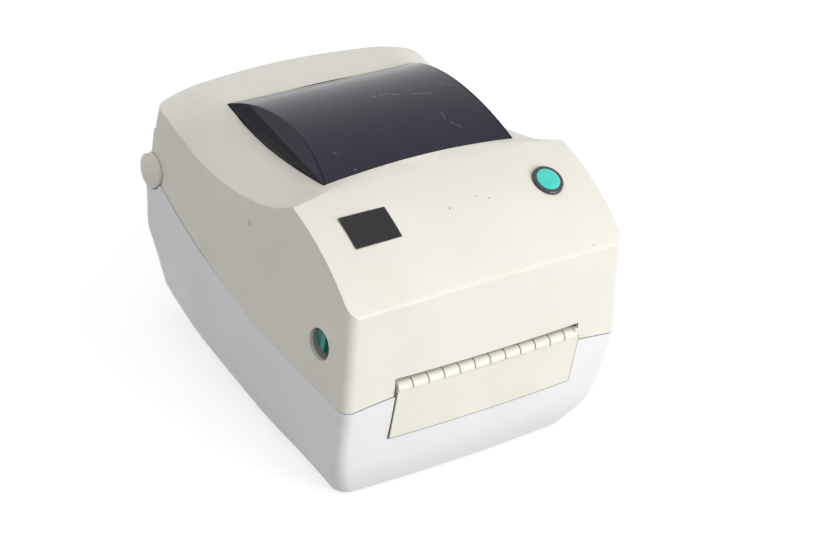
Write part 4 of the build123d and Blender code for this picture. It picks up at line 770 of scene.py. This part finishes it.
class FittingSizes(bpy.types.PropertyGroup):
    """Sizes of the small fittings."""

    tray_head_radius: bpy.props.FloatProperty(
        name="Tray screw head", description="Head radius of the screws in the tray", default=0.0034,
        unit="LENGTH")
    frame_head_radius: bpy.props.FloatProperty(
        name="Frame screw head", description="Head radius of the screws in the ribbon frame", default=0.003,
        unit="LENGTH")
    spring_turns: bpy.props.IntProperty(
        name="Spring turns", description="Turns of each head spring", default=6)


class StageSizes(bpy.types.PropertyGroup):
    """The studio round the printer."""

    floor_size: bpy.props.FloatProperty(
        name="Floor size", description="Side of the square floor", default=6.0, unit="LENGTH")
    focal_length: bpy.props.FloatProperty(
        name="Focal length", description="Lens of the camera in millimetres on a 36 mm sensor",
        default=107.38, unit="CAMERA")
    key_power: bpy.props.FloatProperty(
        name="Key light", description="Power of the large light in front on the right", default=17.0,
        unit="POWER")
    top_power: bpy.props.FloatProperty(
        name="Top light", description="Power of the overhead light", default=2.5, unit="POWER")
    world_strength: bpy.props.FloatProperty(
        name="Fill", description="Strength of the even light from all round", default=0.66)


class PRINTER_OT_finishes(bpy.types.Operator):
    """Give every CAD piece the finish of its slot"""

    bl_idname = "printer.finishes"
    bl_label = "Finish CAD pieces"

    def execute(self, context):
        slots = {row["node"]: row["material_slot"] for row in frame["record"]["subparts"]}
        for node, piece in frame["nodes"].items():
            piece.data.materials.clear()
            piece.data.materials.append(finish(slots[node]))
        return {"FINISHED"}


class PRINTER_OT_shells(bpy.types.Operator):
    """Stand-ins for the base and the cover whose curved faces shade smoothly"""

    bl_idname = "printer.shells"
    bl_label = "Smooth shells"

    def execute(self, context):
        smooth_copy("base_shell", "base", "base_plastic", shape_tub)
        smooth_copy("top_cover", "lid", "cover_plastic")
        return {"FINISHED"}


class PRINTER_OT_tray_screws(bpy.types.Operator):
    """Replace the plain tray screws with pan heads that have a cross recess"""

    bl_idname = "printer.tray_screws"
    bl_label = "Tray screws"

    def execute(self, context):
        pattern = pan_head_screw(context.scene.printer_fittings.tray_head_radius, *TRAY_SHANK)
        screws = [copy_to(pattern, place, (0, 0, 0.4 * i)) for i, place in enumerate(TRAY_SCREWS)]
        discard(pattern)
        screw_set = settle(join(screws), "tray_screw_set", "base", finish("zinc_screw"))
        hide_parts("deck_screws")
        return {"FINISHED"}


class PRINTER_OT_frame_screws(bpy.types.Operator):
    """Replace the plain ribbon frame screws with pan heads that face down"""

    bl_idname = "printer.frame_screws"
    bl_label = "Ribbon frame screws"

    def execute(self, context):
        pattern = pan_head_screw(context.scene.printer_fittings.frame_head_radius, *FRAME_SHANK)
        screws = [copy_to(pattern, place, (math.pi, 0, 0.5 * i)) for i, place in enumerate(FRAME_SCREWS)]
        discard(pattern)
        screw_set = settle(join(screws), "frame_screw_set", "lid", finish("zinc_screw"))
        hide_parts("frame_screws")
        return {"FINISHED"}


class PRINTER_OT_head_springs(bpy.types.Operator):
    """Replace the plain spring sleeves with wound wire springs"""

    bl_idname = "printer.head_springs"
    bl_label = "Head springs"

    def execute(self, context):
        low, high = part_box("head_springs")
        pattern = coil_spring(high[2] - low[2], context.scene.printer_fittings.spring_turns)
        springs = [copy_to(pattern, (side * SPRING_X, SPRING_Y, low[2])) for side in (-1, 1)]
        discard(pattern)
        pair = settle(join(springs), "wound_head_springs", "lid", finish("spring_steel"))
        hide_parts("head_springs")
        return {"FINISHED"}


class PRINTER_OT_latch_pads(bpy.types.Operator):
    """Hollowed finger pads that fill the round side holes, fixed to the latches"""

    bl_idname = "printer.latch_pads"
    bl_label = "Latch pads"

    def execute(self, context):
        for side, body in ((-1, "latch_left"), (1, "latch_right")):
            low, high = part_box(body)
            face_x = side * max(abs(low[0]), abs(high[0]))
            middle = ((low[1] + high[1]) / 2, (low[2] + high[2]) / 2)
            clear_selection()
            bpy.ops.mesh.primitive_cylinder_add(vertices=48, radius=PAD_RADIUS, depth=PAD_DEPTH,
                                                location=(face_x - side * PAD_INSET, *middle),
                                                rotation=(0, math.pi / 2, 0))
            pad = bevelled(bpy.context.object, PAD_ROUNDING, 4)
            clear_selection()
            bpy.ops.mesh.primitive_cylinder_add(vertices=64, radius=HOLLOW_RADIUS, depth=HOLLOW_LENGTH,
                                                location=(face_x + side * HOLLOW_AWAY, *middle))
            cut_with(pad, bpy.context.object)
            settle(pad, f"{body}_pad", body, finish("latch_teal"))
        return {"FINISHED"}


class PRINTER_OT_panel_clip(bpy.types.Operator):
    """Small grey clip at the right end of the front panel's lip"""

    bl_idname = "printer.panel_clip"
    bl_label = "Panel clip"

    def execute(self, context):
        low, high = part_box("front_panel")
        middle_x = high[0] - CLIP_INSET
        near, far = CLIP_DEPTHS
        clip = bevelled(place_box((middle_x - CLIP_HALF, low[1] + near, high[2] - CLIP_UNDER),
                                  (middle_x + CLIP_HALF, low[1] + far, high[2] + CLIP_OVER)), CLIP_ROUNDING)
        settle(clip, "panel_clip", "base", finish("base_plastic"))
        return {"FINISHED"}


class PRINTER_OT_badge_rim(bpy.types.Operator):
    """Pale adhesive film whose edge shows round the plate"""

    bl_idname = "printer.badge_rim"
    bl_label = "Plate edge"

    def execute(self, context):
        rim = copy_of(frame["nodes"]["badge_plate"])
        middle = sum((Vector(corner) for corner in rim.bound_box), Vector()) / 8
        bpy.ops.object.mode_set(mode="EDIT")
        bpy.ops.mesh.select_all(action="SELECT")
        bpy.ops.transform.resize(value=(FILM_SCALE,) * 3, center_override=rim.matrix_world @ middle)
        bpy.ops.transform.translate(value=FILM_SHIFT)
        bpy.ops.object.mode_set(mode="OBJECT")
        settle(rim, "badge_rim", "lid", finish("film_edge"))
        return {"FINISHED"}


def white_to_camera(tree):
    """1 for rays from the camera, a mirror or through glass, and 0 for lighting rays."""
    path = add_node(tree, "LightPath")
    seen = add_node(tree, "Math", {0: path["Is Camera Ray"], 1: path["Is Glossy Ray"]},
                    operation="MAXIMUM")[0]
    return add_node(tree, "Math", {0: seen, 1: path["Is Transmission Ray"]}, operation="MAXIMUM")[0]


def make_floor(size):
    """Plain pale floor that keeps the printer's soft shadow."""
    clear_selection()
    bpy.ops.mesh.primitive_plane_add(size=size, location=(0, 0, 0))
    floor = bpy.context.object
    floor.name = "floor"
    material, tree, _ = new_material("matte_white_floor")
    diffuse = add_node(tree, "BsdfDiffuse", {"Color": (FLOOR_GREY, FLOOR_GREY, FLOOR_GREY, 1)})[0]
    strength = add_node(tree, "Math", {0: white_to_camera(tree), 1: FLOOR_GLOW}, operation="MULTIPLY")[0]
    glow = add_node(tree, "Emission", {"Color": (1, 1, 1, 1), "Strength": strength})[0]
    both = add_node(tree, "AddShader", {0: diffuse, 1: glow})[0]
    add_node(tree, "OutputMaterial", {"Surface": both})
    floor.data.materials.append(material)


def make_world(scene, strength):
    """White surroundings to the eye, and an even fill for the light."""
    world = bpy.data.worlds.new("studio_white")
    scene.world = world
    world.use_nodes = True
    tree = world.node_tree
    tree.nodes.clear()
    power = add_node(tree, "MapRange", {"Value": white_to_camera(tree), "To Min": strength, "To Max": 1.0})[0]
    sky = add_node(tree, "Background", {"Color": (1, 1, 1, 1), "Strength": power})[0]
    add_node(tree, "OutputWorld", {"Surface": sky})


def make_lamp(name, lamp_row, power):
    """Square soft light aimed at a point."""
    place, target, size = lamp_row
    clear_selection()
    bpy.ops.object.light_add(type="AREA", location=place)
    lamp = bpy.context.object
    lamp.name = name
    lamp.data.size = size
    lamp.data.energy = power
    lamp.rotation_euler = (Vector(target) - Vector(place)).to_track_quat("-Z", "Y").to_euler()


def make_camera(scene, focal_length):
    """Camera at the photograph's place and angle."""
    clear_selection()
    bpy.ops.object.camera_add(location=CAMERA_PLACE)
    camera = bpy.context.object
    camera.name = "photo_camera"
    camera.rotation_euler = [math.radians(angle) for angle in CAMERA_TURN]
    camera.data.sensor_width = 36.0
    camera.data.lens = focal_length
    scene.camera = camera
    scene.view_settings.view_transform = "Standard"


class PRINTER_OT_stage(bpy.types.Operator):
    """Set up the floor, the lights and the camera"""

    bl_idname = "printer.stage"
    bl_label = "Studio and camera"

    def execute(self, context):
        sizes = context.scene.printer_stage
        make_floor(sizes.floor_size)
        make_world(context.scene, sizes.world_strength)
        make_lamp("key_light", KEY_LAMP, sizes.key_power)
        make_lamp("top_light", TOP_LAMP, sizes.top_power)
        make_camera(context.scene, sizes.focal_length)
        return {"FINISHED"}


class PRINTER_PT_panel(bpy.types.Panel):
    """Lists the printer's operators and settings in the sidebar"""

    bl_label = "Label Printer"
    bl_idname = "PRINTER_PT_panel"
    bl_space_type = "VIEW_3D"
    bl_region_type = "UI"
    bl_category = "Printer"

    def draw(self, context):
        for step in STEPS:
            self.layout.operator(step.bl_idname)
        for holder, group in SETTINGS.items():
            for name in group.__annotations__:
                self.layout.prop(getattr(context.scene, holder), name)


SETTINGS = {"printer_colours": PrinterColours, "printer_fittings": FittingSizes, "printer_stage": StageSizes}
STEPS = (PRINTER_OT_finishes, PRINTER_OT_shells, PRINTER_OT_tray_screws, PRINTER_OT_frame_screws,
         PRINTER_OT_head_springs, PRINTER_OT_latch_pads, PRINTER_OT_panel_clip, PRINTER_OT_badge_rim,
         PRINTER_OT_stage)
CLASSES = (*SETTINGS.values(), *STEPS, PRINTER_PT_panel)


def register():
    """Register the classes and hang the settings on the scene."""
    for item in CLASSES:
        bpy.utils.register_class(item)
    for holder, group in SETTINGS.items():
        setattr(bpy.types.Scene, holder, bpy.props.PointerProperty(type=group))


def unregister():
    """Take the settings and the classes away again."""
    for holder in SETTINGS:
        delattr(bpy.types.Scene, holder)
    for item in reversed(CLASSES):
        bpy.utils.unregister_class(item)


def main():
    """Register the add-on and run its operators in order."""
    register()
    for step in STEPS:
        group, name = step.bl_idname.split(".")
        getattr(getattr(bpy.ops, group), name)()


if __name__ == "__main__":
    main()
